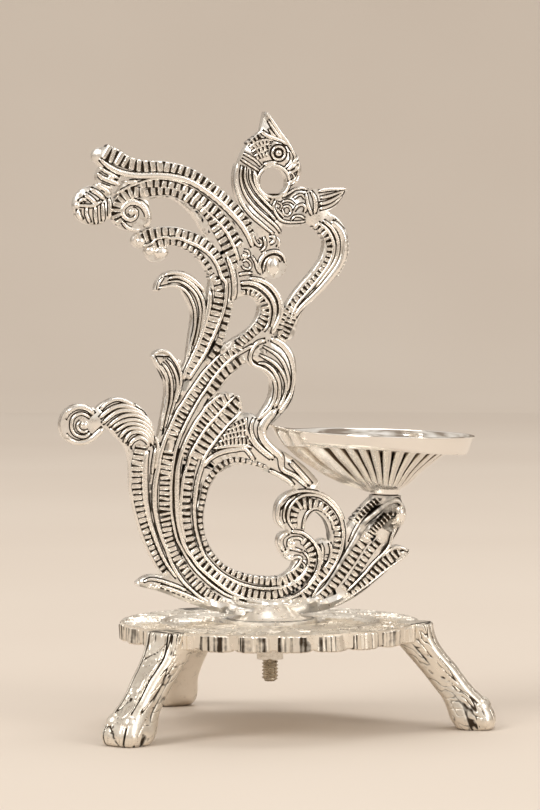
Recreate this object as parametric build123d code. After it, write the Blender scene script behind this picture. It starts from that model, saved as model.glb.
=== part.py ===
from build123d import *
import math
import os

# A table-top aarti lamp: an openwork peacock casting and its oil bowl, clamped by one stud and nut
# to a round three-legged stand. Millimetres, +Z up, standing on the floor at Z = 0.

# Peacock casting
PEACOCK_TURN = 18.0        # the casting is clamped turned about the stud, against the stand
CORE_THICKNESS = 5.4       # flat web of the casting
RELIEF_HEIGHT = 0.9        # rails stand proud of the web by this much on each face
RAIL_WIDTH = 1.3
RAIL_INSET = 0.45          # rails stay this far inside a plume's edge
VEIN_SHARE = 0.3           # a leaf's vein, as a share of the leaf's width
CAP_REACH = 0.42           # how far a plume's round end stands out, as a share of its width
LEAST_OPENING = 14.0       # smaller gaps between plumes, in square mm, are cast shut
DRAWN_SEAT = 31.7          # height of the plate's top in the heights that the plumes are drawn at
FOOT_RADIUS = 14.5
FOOT_EDGE = 1.0            # thickness of the foot's rim
FOOT_WAIST = 4.3           # radius of the boss that holds the stud
FOOT_HEIGHT = 6.6
FOOT_HOLLOW = 0.3          # how far the foot's flare is drawn in, as a share of its run
KNOB_PROUD = 1.2           # balls stand proud of the web by this much
HEAD_OPENING = (0.6, 164.8, 4.1, 4.7)   # centre and half axes

# Oil bowl
SEAT_X = 35.8              # bowl axis along the casting, from the stud
SEAT_HEIGHT = 38.1         # leaf seat above the plate's top
SEAT_RADIUS = 4.9
SEAT_DEPTH = 5.0
BOWL_TILT = 2.0            # the bowl leans a little outwards
NECK_RADIUS = 4.6
NECK_HEIGHT = 1.0
CUP_FOOT_RADIUS = 4.8
CUP_FOOT_REACH = 6.2       # all the way up, the cup is drawn out towards the lip
CUP_TOP_RADIUS = 18.0
CUP_TOP_REACH = 29.4
# Sections up the cup: shares of its height, of its spread, and of its spread towards the lip
CUP_BELLY = ((0.14, 0.14, 0.28), (0.29, 0.27, 0.49), (0.49, 0.46, 0.7), (0.72, 0.71, 0.87))
FLUTES = 28                # rounded flutes that spread from the neck to the rim band
FLUTE_DEPTH = 0.8          # depth of the grooves between them at the cup's top
DISH_BOTTOM = 14.4         # where the fluted cup meets the rim band, on the bowl's axis
DISH_SLANT = 3.0           # the dish's underside rises towards the lip, in degrees
DISH_RADIUS = 24.6
RIM_HEIGHT = 19.1
RIM_RADIUS = 26.5
RIM_WALL = 1.0
BOWL_FLOOR = 1.2           # thickness of the dish's bottom at its edge
FLOOR_DIP = 4.0            # the floor's middle lies this much lower
FLOOR_DIP_RADIUS = 16.0
LIP_REACH = 35.1           # tip of the pinched wick lip, from the bowl's axis
LIP_ROOT = 30.0            # reach of the lip's lower end
LIP_WIDTH = 3.0
LIP_RISE = 3.0             # the lip's tip stands higher than the rim
LIP_START = 24.0           # the rim begins to rise here
BOWL_STUD_RADIUS = 1.6
BOWL_STUD_GRIP = 4.2       # length held in the neck, and again in the seat

# Stand
PLATE_TOP = 31.7
PLATE_RADIUS = 46.0
LOBES = 24
LOBE_DEPTH = 1.0
PLATE_RIM = 4.2            # height of the rim wall
PLATE_WEB = 3.0
RIM_WIDTH = 4.0
RING_RADIUS = 32.5         # raised ring on the plate
RING_WIDTH = 2.2
RING_HEIGHT = 0.6
BOSS_RADIUS = 8.0
BOSS_DEPTH = 6.2           # from the plate's top to the washer's seat
BACK_LEG_ANGLE = 126.0     # the two legs away from the bowl, either side of the one under it
LEGS = {"leg_right": 0.0, "leg_rear": BACK_LEG_ANGLE, "leg_front": -BACK_LEG_ANGLE}
LEG_HEAD_INNER = 38.0      # radius where the leg's head begins
LEG_HEAD_LENGTH = 11.4
LEG_HEAD_WIDTH = 13.0
LEG_CORNER = 3.0
LEG_SPLAY = 18.7           # the foot's centre lies this much further out than the head's centre
# Sections down the leg: share of its height, share of its splay, length along the splay, width
LEG_SECTIONS = (
    (0.80, 0.23, 11.2, 11.6), (0.55, 0.54, 11.0, 10.2), (0.33, 0.81, 12.2, 11.4), (0.147, 0.957, 13.6, 13.6),
    (0.0, 1.0, 10.4, 11.0),
)
HEAD_DROP = 4.4            # depth of the leg's straight head
TONGUE_LENGTH = 9.0
TONGUE_WIDTH = 9.0
TONGUE_THICKNESS = 2.4
RIVET_RADIUS = 1.5
RIVET_HEAD_RADIUS = 2.6
RIVET_HEAD = 1.0
FIT = 0.05                 # clearance round pins and studs, on the radius
SWIVEL_FIT = 0.08          # clearance round the clamp stud where pieces turn or slide on it
NOTCH_CLEARANCE = 0.2      # round a leg's head in the plate's rim

# Clamp
STUD_RADIUS = 2.5
STUD_GRIP = 5.6            # length held in the casting's foot
STUD_LENGTH_BELOW = 18.0   # from the plate's top down to the tip
STUD_CHAMFER = 0.5
WASHER_RADIUS = 5.0
WASHER_THICKNESS = 1.0
NUT_FLATS = 8.0
NUT_HEIGHT = 4.0
NUT_CHAMFER = 0.5
NUT_TURN = 36.0            # a flat of the nut faces the front

# Plumes of the peacock, drawn in the casting's plane: (along the casting, height above the floor, width),
# from the free tip to where the plume flows into the others
CROWN_PLUME = [
    (-52.3, 172.9, 5.0), (-48.8, 171.5, 7.6), (-44.5, 169.4, 6.6), (-40.0, 168.6, 5.8), (-35.0, 168.7, 5.4),
    (-30.0, 168.0, 5.4), (-25.0, 166.5, 5.0), (-20.0, 163.4, 4.6), (-15.0, 159.4, 4.4), (-11.2, 155.8, 5.0),
    (-7.6, 150.8, 5.6), (-5.0, 145.0, 5.6),
]
SECOND_PLUME = [
    (-44.0, 161.4, 6.6), (-40.0, 162.5, 6.4), (-35.0, 163.0, 5.8), (-30.0, 162.6, 5.4), (-25.0, 160.4, 6.4),
    (-20.5, 156.6, 7.6), (-16.0, 150.4, 9.4), (-12.2, 143.5, 10.2), (-10.4, 137.0, 8.0),
]
THIRD_PLUME = [
    (-38.0, 148.2, 5.4), (-34.0, 148.6, 5.8), (-30.0, 148.7, 5.8), (-26.0, 147.9, 5.2), (-21.8, 145.6, 5.8),
    (-18.3, 141.4, 5.8), (-16.4, 136.8, 5.2), (-16.2, 131.5, 6.6), (-16.2, 126.5, 7.6), (-17.6, 121.0, 7.2),
    (-20.4, 114.5, 7.2), (-24.2, 107.0, 7.2), (-27.6, 99.5, 6.8), (-30.4, 91.5, 6.6), (-32.0, 84.0, 6.4),
    (-33.1, 76.0, 6.2), (-33.4, 69.0, 6.2), (-32.7, 61.5, 6.2), (-30.4, 54.5, 6.0), (-26.8, 47.8, 6.0),
    (-22.2, 43.0, 6.0), (-17.0, 39.9, 5.6), (-11.0, 38.0, 4.6), (-4.0, 37.2, 4.0),
]
OUTER_LEAF = [
    (-35.2, 132.6, 1.2), (-32.8, 135.3, 3.6), (-29.5, 136.3, 4.4), (-26.0, 134.7, 5.4), (-23.4, 131.0, 6.0),
    (-22.2, 126.5, 4.6), (-22.4, 121.0, 4.6), (-23.3, 115.0, 4.6), (-24.0, 109.5, 4.0),
]
INNER_LEAF = [
    (-36.0, 112.5, 1.4), (-34.0, 112.1, 3.4), (-31.7, 110.6, 5.0), (-30.1, 107.0, 4.6), (-30.1, 102.5, 4.4),
    (-30.9, 97.5, 4.2), (-32.0, 92.0, 4.0), (-33.4, 86.0, 3.6),
]
CURLED_PLUME = [
    (-53.0, 93.6, 6.0), (-49.4, 95.0, 9.2), (-45.2, 94.0, 11.4), (-41.6, 90.0, 10.8), (-39.8, 84.5, 8.6),
    (-39.6, 78.5, 7.6), (-39.6, 73.0, 7.2), (-38.8, 67.0, 6.4), (-37.6, 61.0, 5.6), (-35.9, 55.5, 4.8),
    (-33.6, 50.5, 4.2), (-31.0, 46.6, 3.4),
]
LOOP_PLUME = [
    (13.0, 154.3, 4.6), (17.0, 152.7, 6.6), (19.6, 149.3, 7.2), (20.0, 145.0, 7.4), (18.6, 140.6, 7.2),
    (15.6, 136.6, 6.6), (11.9, 132.8, 6.0), (8.4, 128.9, 5.4), (6.0, 124.6, 5.2), (4.4, 119.5, 5.4),
]
HEART_PLUME = [
    (-12.5, 131.8, 5.6), (-8.6, 133.7, 6.2), (-4.2, 133.1, 6.6), (-0.9, 130.1, 6.8), (-0.3, 126.0, 7.0),
    (-1.8, 121.6, 7.0), (-5.6, 116.8, 8.0), (-10.4, 113.8, 8.2), (-15.4, 109.8, 8.2), (-19.8, 104.0, 8.0),
    (-23.6, 97.5, 7.6), (-26.8, 91.0, 7.0), (-29.2, 84.5, 6.4),
]
FEATHER = [
    (-12.9, 98.2, 7.6), (-16.0, 95.0, 9.4), (-19.4, 90.8, 9.8), (-22.6, 85.5, 9.4), (-24.6, 80.0, 9.2),
    (-25.4, 75.0, 9.0), (-26.0, 70.0, 8.2), (-26.5, 65.0, 7.0), (-26.0, 60.0, 6.6), (-24.3, 55.0, 6.4),
    (-21.7, 50.6, 6.4), (-18.0, 47.0, 6.2), (-13.5, 43.8, 6.2), (-8.5, 41.6, 6.2), (-3.0, 40.4, 6.2),
    (2.2, 40.4, 6.2), (6.8, 41.7, 5.8), (10.4, 44.4, 5.4), (12.8, 48.2, 4.8), (13.0, 52.6, 4.2),
    (11.0, 56.0, 3.8),
]
RING_MARGIN = [
    (-9.0, 81.0, 2.6), (-13.6, 80.2, 2.6), (-17.3, 77.9, 2.6), (-20.1, 74.0, 2.6), (-21.5, 69.6, 2.6),
    (-22.3, 64.8, 2.6), (-22.1, 60.0, 2.6), (-20.7, 55.5, 2.6), (-18.1, 51.4, 2.6), (-14.7, 48.1, 2.6),
    (-10.6, 45.7, 2.6), (-6.0, 44.4, 2.6), (-1.0, 43.9, 2.8), (3.4, 44.4, 2.8), (6.8, 46.6, 2.8),
    (8.4, 49.6, 2.8),
]
CHEST_LEAF = [
    (-6.6, 111.9, 1.5), (-3.8, 112.7, 6.4), (0.2, 112.9, 9.4), (3.0, 109.5, 8.8), (3.7, 104.8, 7.4),
    (3.2, 100.5, 6.8), (1.0, 96.6, 5.6), (-2.0, 93.0, 4.6), (-3.8, 89.2, 4.2), (-3.0, 85.6, 4.6),
    (0.2, 82.3, 5.8), (4.2, 79.2, 7.0), (8.2, 76.0, 7.2), (12.0, 72.6, 6.4),
]
GREAT_SCROLL = [
    (7.4, 64.6, 8.0), (10.0, 67.6, 7.6), (13.6, 68.4, 6.6), (17.2, 66.4, 6.0), (19.9, 62.6, 5.8),
    (20.8, 58.0, 5.6), (20.4, 52.5, 5.4), (18.6, 47.2, 5.4), (15.2, 42.6, 5.6), (10.5, 39.2, 5.6),
    (4.0, 37.2, 4.4),
]
BRACKET_LEAF = [
    (35.6, 65.0, 12.4), (32.4, 60.6, 13.8), (28.2, 55.0, 13.4), (23.6, 49.4, 12.0), (18.2, 44.0, 10.4),
    (11.5, 39.8, 7.2),
]
TAIL_LEAF = [
    (42.6, 52.7, 1.2), (39.5, 51.9, 3.4), (35.6, 49.5, 4.8), (31.2, 46.4, 5.6), (26.6, 42.8, 5.6),
    (21.8, 39.9, 5.4), (15.5, 37.6, 5.0), (8.0, 36.4, 4.4),
]
GROUND_LEAF = [
    (-40.7, 44.2, 1.6), (-37.6, 44.7, 4.0), (-33.5, 44.0, 4.8), (-29.0, 42.2, 4.8), (-24.4, 40.2, 4.6),
    (-19.4, 38.2, 4.2), (-13.0, 36.5, 3.8), (-5.0, 35.6, 3.4), (5.0, 35.8, 3.6),
]
PLUMES = [
    CROWN_PLUME, SECOND_PLUME, THIRD_PLUME, CURLED_PLUME, LOOP_PLUME, HEART_PLUME, FEATHER, GREAT_SCROLL,
]
LEAVES = [OUTER_LEAF, INNER_LEAF, CHEST_LEAF, BRACKET_LEAF, TAIL_LEAF, GROUND_LEAF]
# Round ends of plumes and bosses: (along, height, radius)
ROUNDS = [
    (-54.4, 157.9, 5.9), (-49.8, 166.4, 3.6), (-43.2, 156.3, 5.9), (-40.2, 147.4, 2.3), (-35.2, 143.9, 3.0),
    (-58.3, 92.4, 6.2), (6.0, 64.6, 4.3), (6.9, 55.2, 4.6), (7.6, 60.4, 2.6), (16.2, 54.4, 2.5),
    (16.0, 51.0, 2.2), (6.8, 157.4, 6.0), (0.3, 140.2, 4.4), (-3.0, 144.8, 5.4), (-6.6, 138.4, 5.0),
]
# Bosses and balls that stand out of the rounds on both faces
KNOBS = [(-58.3, 92.4, 2.4), (-43.0, 156.2, 3.2), (0.5, 140.0, 2.8), (6.9, 55.6, 2.2), (2.1, 173.7, 2.2)]
HEAD_RIGHT = [
    (-2.0, 186.2), (2.0, 181.5), (6.5, 175.3), (8.7, 169.6), (6.6, 163.8), (4.2, 156.0), (3.0, 149.2),
]
HEAD_LEFT = [
    (-2.2, 148.0), (-6.6, 154.1), (-9.4, 159.4), (-10.9, 165.0), (-9.7, 171.8), (-7.1, 176.6), (-3.2, 180.4),
]
BEAK = [(11.0, 163.2), (14.9, 162.9), (23.7, 162.9), (19.9, 157.6), (16.0, 155.6), (11.0, 153.4)]
FAN_WEB = [
    (-18.5, 86.5), (-13.5, 91.5), (-8.8, 95.2), (-5.2, 94.8), (-4.6, 89.0), (-1.5, 83.0), (3.0, 79.0),
    (0.5, 77.2), (-4.8, 79.2), (-10.0, 80.6), (-15.5, 80.2), (-21.0, 77.5),
]


def offset_edges(points, shift_of, width_of):
    """Points of the two edges of a band that runs beside a plume's spine."""
    left = []
    right = []
    for index, (x, z, width) in enumerate(points):
        before = points[max(index - 1, 0)]
        after = points[min(index + 1, len(points) - 1)]
        run = (after[0] - before[0], after[1] - before[1])
        length = math.hypot(*run)
        normal = (-run[1] / length, run[0] / length)
        middle = shift_of(width)
        half = width_of(width) / 2
        left.append((x + normal[0] * (middle + half), z + normal[1] * (middle + half)))
        right.append((x + normal[0] * (middle - half), z + normal[1] * (middle - half)))
    return left, right


def end_cap(tip, inner, left, right):
    """Round end that closes a band beyond its last spine point."""
    run = (tip[0] - inner[0], tip[1] - inner[1])
    reach = math.dist(left, right) * CAP_REACH / math.hypot(*run)
    middle = ((left[0] + right[0]) / 2 + run[0] * reach, (left[1] + right[1]) / 2 + run[1] * reach)
    return ThreePointArc(left, middle, right)


def band_face(points, shift_of=lambda width: 0.0, width_of=lambda width: width):
    """Flat outline of a plume, or of a rail that runs along one."""
    left, right = offset_edges(points, shift_of, width_of)
    edges = [
        Spline(*left),
        end_cap(points[-1], points[-2], left[-1], right[-1]),
        Spline(*reversed(right)),
        end_cap(points[0], points[1], right[0], left[0]),
    ]
    return make_face(edges).face()


def round_face(x, z, radius):
    return (Pos(x, z) * Circle(radius)).face()


def head_face():
    """Crest, head and neck."""
    edges = [
        Spline(*HEAD_RIGHT),
        Line(HEAD_RIGHT[-1], HEAD_LEFT[0]),
        Spline(*HEAD_LEFT),
        Line(HEAD_LEFT[-1], HEAD_RIGHT[0]),
    ]
    return make_face(edges).face()


def casting_outline():
    """The openwork silhouette; gaps too small for the mould to hold are cast shut."""
    faces = [band_face(points) for points in PLUMES + LEAVES + [RING_MARGIN]]
    faces += [round_face(*values) for values in ROUNDS]
    faces.append(head_face())
    faces.append(make_face(Polyline(*BEAK, close=True)).face())
    faces.append(make_face(Spline(*FAN_WEB, periodic=True)).face())
    whole = faces[0].fuse(*faces[1:])
    outline = max(whole.faces(), key=lambda face: face.area)
    openings = [wire for wire in outline.inner_wires() if Face(wire).area > LEAST_OPENING]
    x, z, half_x, half_z = HEAD_OPENING
    return Face(outline.outer_wire(), openings) - Pos(x, z) * Ellipse(half_x, half_z)


def edge_rail(points, side):
    """Smooth rail along one edge of a plume, from its second spine point to the last but one."""
    return band_face(
        points[1:-1],
        lambda width: side * (width / 2 - RAIL_INSET - RAIL_WIDTH / 2),
        lambda width: RAIL_WIDTH,
    )


def leaf_vein(points):
    """Raised middle vein of a leaf."""
    return band_face(points[1:-1], width_of=lambda width: width * VEIN_SHARE)


def upright(face, thickness):
    """A face drawn in the casting's plane, thickened to both sides of it."""
    return extrude(Plane.XZ * face, thickness / 2, both=True)


def bowl_place():
    """The bowl's own frame: its neck's foot on the leaf seat, leaning outwards."""
    return Pos(SEAT_X, 0, PLATE_TOP + SEAT_HEIGHT) * Rot(0, BOWL_TILT, 0)


def upward(radius, height, bottom=0.0):
    """A cylinder that stands on the given height."""
    return Pos(0, 0, bottom) * Cylinder(radius, height, align=(Align.CENTER, Align.CENTER, Align.MIN))


def casting_foot():
    """Flared round foot under the plumes."""
    rim = (FOOT_RADIUS, PLATE_TOP + FOOT_EDGE)
    waist = (FOOT_WAIST, PLATE_TOP + FOOT_HEIGHT)
    hollow = (
        FOOT_WAIST + (FOOT_RADIUS - FOOT_WAIST) * FOOT_HOLLOW,
        PLATE_TOP + FOOT_EDGE + (FOOT_HEIGHT - FOOT_EDGE) * FOOT_HOLLOW,
    )
    profile = make_face([
        Polyline((0, waist[1]), (0, PLATE_TOP), (FOOT_RADIUS, PLATE_TOP), rim),
        ThreePointArc(rim, hollow, waist),
        Line(waist, (0, waist[1])),
    ])
    return revolve(Plane.XZ * profile, Axis.Z)


def knob(x, z, radius):
    """A ball on each face of the casting."""
    out = CORE_THICKNESS / 2 + KNOB_PROUD - radius
    return Pos(x, out, z) * Sphere(radius) + Pos(x, -out, z) * Sphere(radius)


def peacock_casting():
    rails = [edge_rail(points, side) for points in PLUMES for side in (1, -1)]
    rails += [leaf_vein(points) for points in LEAVES]
    relief = rails[0].fuse(*rails[1:])
    web = upright(casting_outline(), CORE_THICKNESS)
    raised = [upright(face, CORE_THICKNESS + 2 * RELIEF_HEIGHT) for face in relief.faces()]
    drawn = web.fuse(*raised, *[knob(*values) for values in KNOBS])
    casting = Pos(0, 0, PLATE_TOP - DRAWN_SEAT) * drawn + casting_foot()
    casting += bowl_place() * upward(SEAT_RADIUS, SEAT_DEPTH, -SEAT_DEPTH)
    casting -= bowl_place() * upward(2 * SEAT_RADIUS, SEAT_DEPTH)
    casting -= bowl_place() * upward(BOWL_STUD_RADIUS + FIT, BOWL_STUD_GRIP, -BOWL_STUD_GRIP)
    return casting - upward(STUD_RADIUS + FIT, STUD_GRIP, PLATE_TOP)


def teardrop(radius, tip, tip_width, height):
    """Outline of the bowl at one height: a circle drawn out to the lip, which points along -X."""
    reach = math.hypot(tip, tip_width / 2)
    angle = math.pi - math.atan2(tip_width / 2, tip) - math.acos(radius / reach)
    touch = (radius * math.cos(angle), radius * math.sin(angle), height)
    lip = (-tip, tip_width / 2, height)
    mirrored = [(x, -y, z) for x, y, z in (touch, lip)]
    return Wire([
        Line(lip, touch),
        ThreePointArc(touch, (radius, 0, height), mirrored[0]),
        Line(*mirrored),
        Line(mirrored[1], lip),
    ])


def scalloped(count, reach_at, depth_share):
    """Outline of lobes side by side, the first one's crest on +X; grooves lie a share of the reach lower."""
    step = math.radians(360.0 / count)

    def point(place, share):
        angle = place * step
        reach = reach_at(angle) * share
        return (reach * math.cos(angle), reach * math.sin(angle))

    low = 1 - depth_share
    arcs = [
        ThreePointArc(point(lobe - 0.5, low), point(lobe, 1), point(lobe + 0.5, low)) for lobe in range(count)
    ]
    return make_face(arcs)


def drawn_out(radius, tip):
    """Reach, by angle, of a circle with its tangents to a tip on -X."""
    touch = math.acos(radius / tip)

    def reach_at(angle):
        off_lip = abs(math.remainder(angle - math.pi, 2 * math.pi))
        return radius / math.cos(max(touch - off_lip, 0.0))

    return reach_at


def fluted_cup():
    """The cup under the dish: its flutes grow with its radius, and its sections tip up towards the lip."""
    sections = []
    for rise, spread, drawn in [(0.0, 0.0, 0.0), *CUP_BELLY, (1.0, 1.0, 1.0)]:
        radius = CUP_FOOT_RADIUS + (CUP_TOP_RADIUS - CUP_FOOT_RADIUS) * spread
        reach = CUP_FOOT_REACH + (CUP_TOP_REACH - CUP_FOOT_REACH) * drawn
        outline = scalloped(FLUTES, drawn_out(radius, reach), FLUTE_DEPTH / CUP_TOP_RADIUS)
        height = NECK_HEIGHT + (DISH_BOTTOM - NECK_HEIGHT) * rise
        sections.append(Pos(0, 0, height) * Rot(0, DISH_SLANT * rise, 0) * outline)
    return loft(sections)


def lamp_bowl():
    """Oil bowl in its own frame, standing on its neck."""
    top = RIM_HEIGHT + LIP_RISE
    floor = DISH_BOTTOM + BOWL_FLOOR
    slant = Pos(0, 0, DISH_BOTTOM) * Rot(0, DISH_SLANT, 0) * Pos(0, 0, -DISH_BOTTOM)

    def wall(height, inset):
        rise = height - DISH_BOTTOM
        radius = DISH_RADIUS + (RIM_RADIUS - DISH_RADIUS) * rise / (RIM_HEIGHT - DISH_BOTTOM)
        tip = LIP_ROOT + (LIP_REACH - LIP_ROOT) * rise / (top - DISH_BOTTOM)
        return teardrop(radius - inset, tip - 2 * inset, LIP_WIDTH - inset, height)

    dish = Solid.make_loft([slant * wall(DISH_BOTTOM, 0), wall(top, 0)], ruled=True)
    hollow = Solid.make_loft([slant * wall(floor, RIM_WALL), wall(top, RIM_WALL)], ruled=True)
    above_rim = make_face([
        TangentArc((-LIP_START, RIM_HEIGHT), (-LIP_REACH, top), tangent=(-1, 0)),
        Polyline(
            (-LIP_REACH, top), (-LIP_REACH, 2 * top), (2 * RIM_RADIUS, 2 * top), (2 * RIM_RADIUS, RIM_HEIGHT),
            (-LIP_START, RIM_HEIGHT),
        ),
    ])
    cut = extrude(Plane.XZ * above_rim, 2 * RIM_RADIUS, both=True)
    dip_radius = (FLOOR_DIP_RADIUS ** 2 + FLOOR_DIP ** 2) / (2 * FLOOR_DIP)
    dip = Pos(0, 0, floor - FLOOR_DIP + dip_radius) * Sphere(dip_radius)
    dip &= upward(FLOOR_DIP_RADIUS, 2 * FLOOR_DIP, floor - FLOOR_DIP)
    bowl = upward(NECK_RADIUS, NECK_HEIGHT) + fluted_cup() + dish - hollow - cut - slant * dip
    return bowl - upward(BOWL_STUD_RADIUS + FIT, BOWL_STUD_GRIP)


def bowl_stud():
    return upward(BOWL_STUD_RADIUS, 2 * BOWL_STUD_GRIP, -BOWL_STUD_GRIP)


def at_leg(angle):
    return Rot(0, 0, angle)


def leg_head(clearance):
    """Plan of a leg's head, or of the notch that takes it."""
    plan = RectangleRounded(
        LEG_HEAD_LENGTH + 2 * clearance, LEG_HEAD_WIDTH + 2 * clearance, LEG_CORNER + clearance
    )
    return Pos(LEG_HEAD_INNER + LEG_HEAD_LENGTH / 2, 0) * plan


def rivet_radius_on_plate():
    return LEG_HEAD_INNER - TONGUE_LENGTH / 2


def stand_plate():
    """Lobed plate with a rim wall below, a boss for the clamp and notches for the legs."""
    bottom = PLATE_TOP - PLATE_RIM
    outline = scalloped(LOBES, lambda angle: PLATE_RADIUS, LOBE_DEPTH / PLATE_RADIUS)
    plate = Pos(0, 0, bottom) * extrude(outline, PLATE_RIM)
    plate -= upward(PLATE_RADIUS - LOBE_DEPTH - RIM_WIDTH, PLATE_RIM - PLATE_WEB, bottom)
    bead = make_face([
        Line((RING_RADIUS - RING_WIDTH / 2, PLATE_TOP), (RING_RADIUS + RING_WIDTH / 2, PLATE_TOP)),
        ThreePointArc(
            (RING_RADIUS + RING_WIDTH / 2, PLATE_TOP),
            (RING_RADIUS, PLATE_TOP + RING_HEIGHT),
            (RING_RADIUS - RING_WIDTH / 2, PLATE_TOP),
        ),
    ])
    plate += revolve(Plane.XZ * bead, Axis.Z)
    plate += upward(BOSS_RADIUS, BOSS_DEPTH, PLATE_TOP - BOSS_DEPTH)
    plate -= upward(STUD_RADIUS + SWIVEL_FIT, BOSS_DEPTH, PLATE_TOP - BOSS_DEPTH)
    for angle in LEGS.values():
        plate -= at_leg(angle) * Pos(0, 0, bottom) * extrude(leg_head(NOTCH_CLEARANCE), PLATE_RIM)
        rivet_hole = upward(RIVET_RADIUS + FIT, PLATE_WEB, PLATE_TOP - PLATE_WEB)
        plate -= at_leg(angle) * Pos(rivet_radius_on_plate(), 0) * rivet_hole
    return plate


def leg(angle):
    """Splayed leg with a paw foot: its head fills the plate's notch, its tongue lies under the plate."""
    head_bottom = PLATE_TOP - HEAD_DROP
    head = Pos(0, 0, head_bottom) * extrude(leg_head(0.0), HEAD_DROP)
    centre = LEG_HEAD_INNER + LEG_HEAD_LENGTH / 2
    sections = [Pos(0, 0, head_bottom) * leg_head(0.0)]
    for share, splay, length, width in LEG_SECTIONS:
        plan = RectangleRounded(length, width, LEG_CORNER)
        sections.append(Pos(centre + LEG_SPLAY * splay, 0, head_bottom * share) * plan)
    shank = loft(sections)
    under = PLATE_TOP - PLATE_WEB - TONGUE_THICKNESS
    tongue = Box(
        TONGUE_LENGTH + LEG_HEAD_LENGTH / 2, TONGUE_WIDTH, TONGUE_THICKNESS,
        align=(Align.MIN, Align.CENTER, Align.MIN),
    )
    tongue = Pos(LEG_HEAD_INNER - TONGUE_LENGTH, 0, under) * tongue
    hole = Pos(rivet_radius_on_plate(), 0) * upward(RIVET_RADIUS + FIT, TONGUE_THICKNESS, under)
    return at_leg(angle) * (head + shank + tongue - hole)


def leg_rivets():
    """One rivet through each tongue and the plate, filed flush above."""
    under = PLATE_TOP - PLATE_WEB - TONGUE_THICKNESS
    rivet = upward(RIVET_RADIUS, PLATE_TOP - under, under)
    rivet += upward(RIVET_HEAD_RADIUS, RIVET_HEAD, under - RIVET_HEAD)
    return Compound([at_leg(angle) * Pos(rivet_radius_on_plate(), 0) * rivet for angle in LEGS.values()])


def clamp_stud():
    tip = PLATE_TOP - STUD_LENGTH_BELOW
    stud = upward(STUD_RADIUS, STUD_LENGTH_BELOW + STUD_GRIP, tip)
    return chamfer(stud.edges().sort_by(Axis.Z)[0], STUD_CHAMFER)


def clamp_washer():
    bottom = PLATE_TOP - BOSS_DEPTH - WASHER_THICKNESS
    washer = upward(WASHER_RADIUS, WASHER_THICKNESS, bottom)
    return washer - upward(STUD_RADIUS + SWIVEL_FIT, WASHER_THICKNESS, bottom)


def clamp_nut():
    """Hexagon nut with turned-down corners."""
    bottom = PLATE_TOP - BOSS_DEPTH - WASHER_THICKNESS - NUT_HEIGHT
    hexagon = Rot(0, 0, NUT_TURN) * RegularPolygon(NUT_FLATS / 2, 6, major_radius=False)
    blank = chamfer(upward(NUT_FLATS / math.sqrt(3), NUT_HEIGHT, bottom).edges(), NUT_CHAMFER)
    nut = (Pos(0, 0, bottom) * extrude(hexagon, NUT_HEIGHT)) & blank
    return nut - upward(STUD_RADIUS + SWIVEL_FIT, NUT_HEIGHT, bottom)


def main():
    turned = Rot(0, 0, PEACOCK_TURN)
    pieces = {
        "peacock_casting": turned * peacock_casting(),
        "lamp_bowl": turned * bowl_place() * lamp_bowl(),
        "bowl_stud": turned * bowl_place() * bowl_stud(),
        "clamp_stud": clamp_stud(),
        "clamp_washer": clamp_washer(),
        "clamp_nut": clamp_nut(),
        "stand_plate": stand_plate(),
        "leg_rivets": leg_rivets(),
    }
    for name, angle in LEGS.items():
        pieces[name] = leg(angle)
    box = Compound(list(pieces.values())).bounding_box()
    to_origin = Pos(-box.center().X, -box.center().Y, -box.min.Z)
    print("stud axis at", -box.center().X, -box.center().Y, "size", box.size)
    os.makedirs("parts", exist_ok=True)
    for name, piece in pieces.items():
        export_step(to_origin * piece, f"parts/{name}.step")


if __name__ == "__main__":
    main()
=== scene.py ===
import math
import random

import bmesh
import bpy
from mathutils import Matrix, Vector, noise
from mathutils.bvhtree import BVHTree


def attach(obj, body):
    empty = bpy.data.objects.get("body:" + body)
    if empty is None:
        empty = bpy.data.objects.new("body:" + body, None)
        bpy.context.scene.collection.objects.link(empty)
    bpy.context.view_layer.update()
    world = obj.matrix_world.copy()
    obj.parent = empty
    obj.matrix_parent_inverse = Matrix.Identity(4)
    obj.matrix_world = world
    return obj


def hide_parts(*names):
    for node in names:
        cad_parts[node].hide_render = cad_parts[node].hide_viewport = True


# Dressing of a table-top aarti lamp: an openwork peacock casting in blackened and polished silver plate, its
# oil bowl, and a round three-legged stand. Shapes are worked out in millimetres and placed in metres.

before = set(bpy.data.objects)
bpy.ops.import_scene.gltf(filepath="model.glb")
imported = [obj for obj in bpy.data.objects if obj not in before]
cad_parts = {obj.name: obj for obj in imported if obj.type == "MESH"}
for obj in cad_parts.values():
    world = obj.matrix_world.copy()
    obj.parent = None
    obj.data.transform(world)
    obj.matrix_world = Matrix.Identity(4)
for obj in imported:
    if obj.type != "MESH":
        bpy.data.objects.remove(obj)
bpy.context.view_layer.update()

MM = 0.001
STAND_AXIS = -3.2485       # the stand's axis lies here along X
PEACOCK_TURN = math.radians(18)
WEB = 2.5                  # half the casting's web, the floor of its recesses
PLATE_TOP = 31.7

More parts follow.
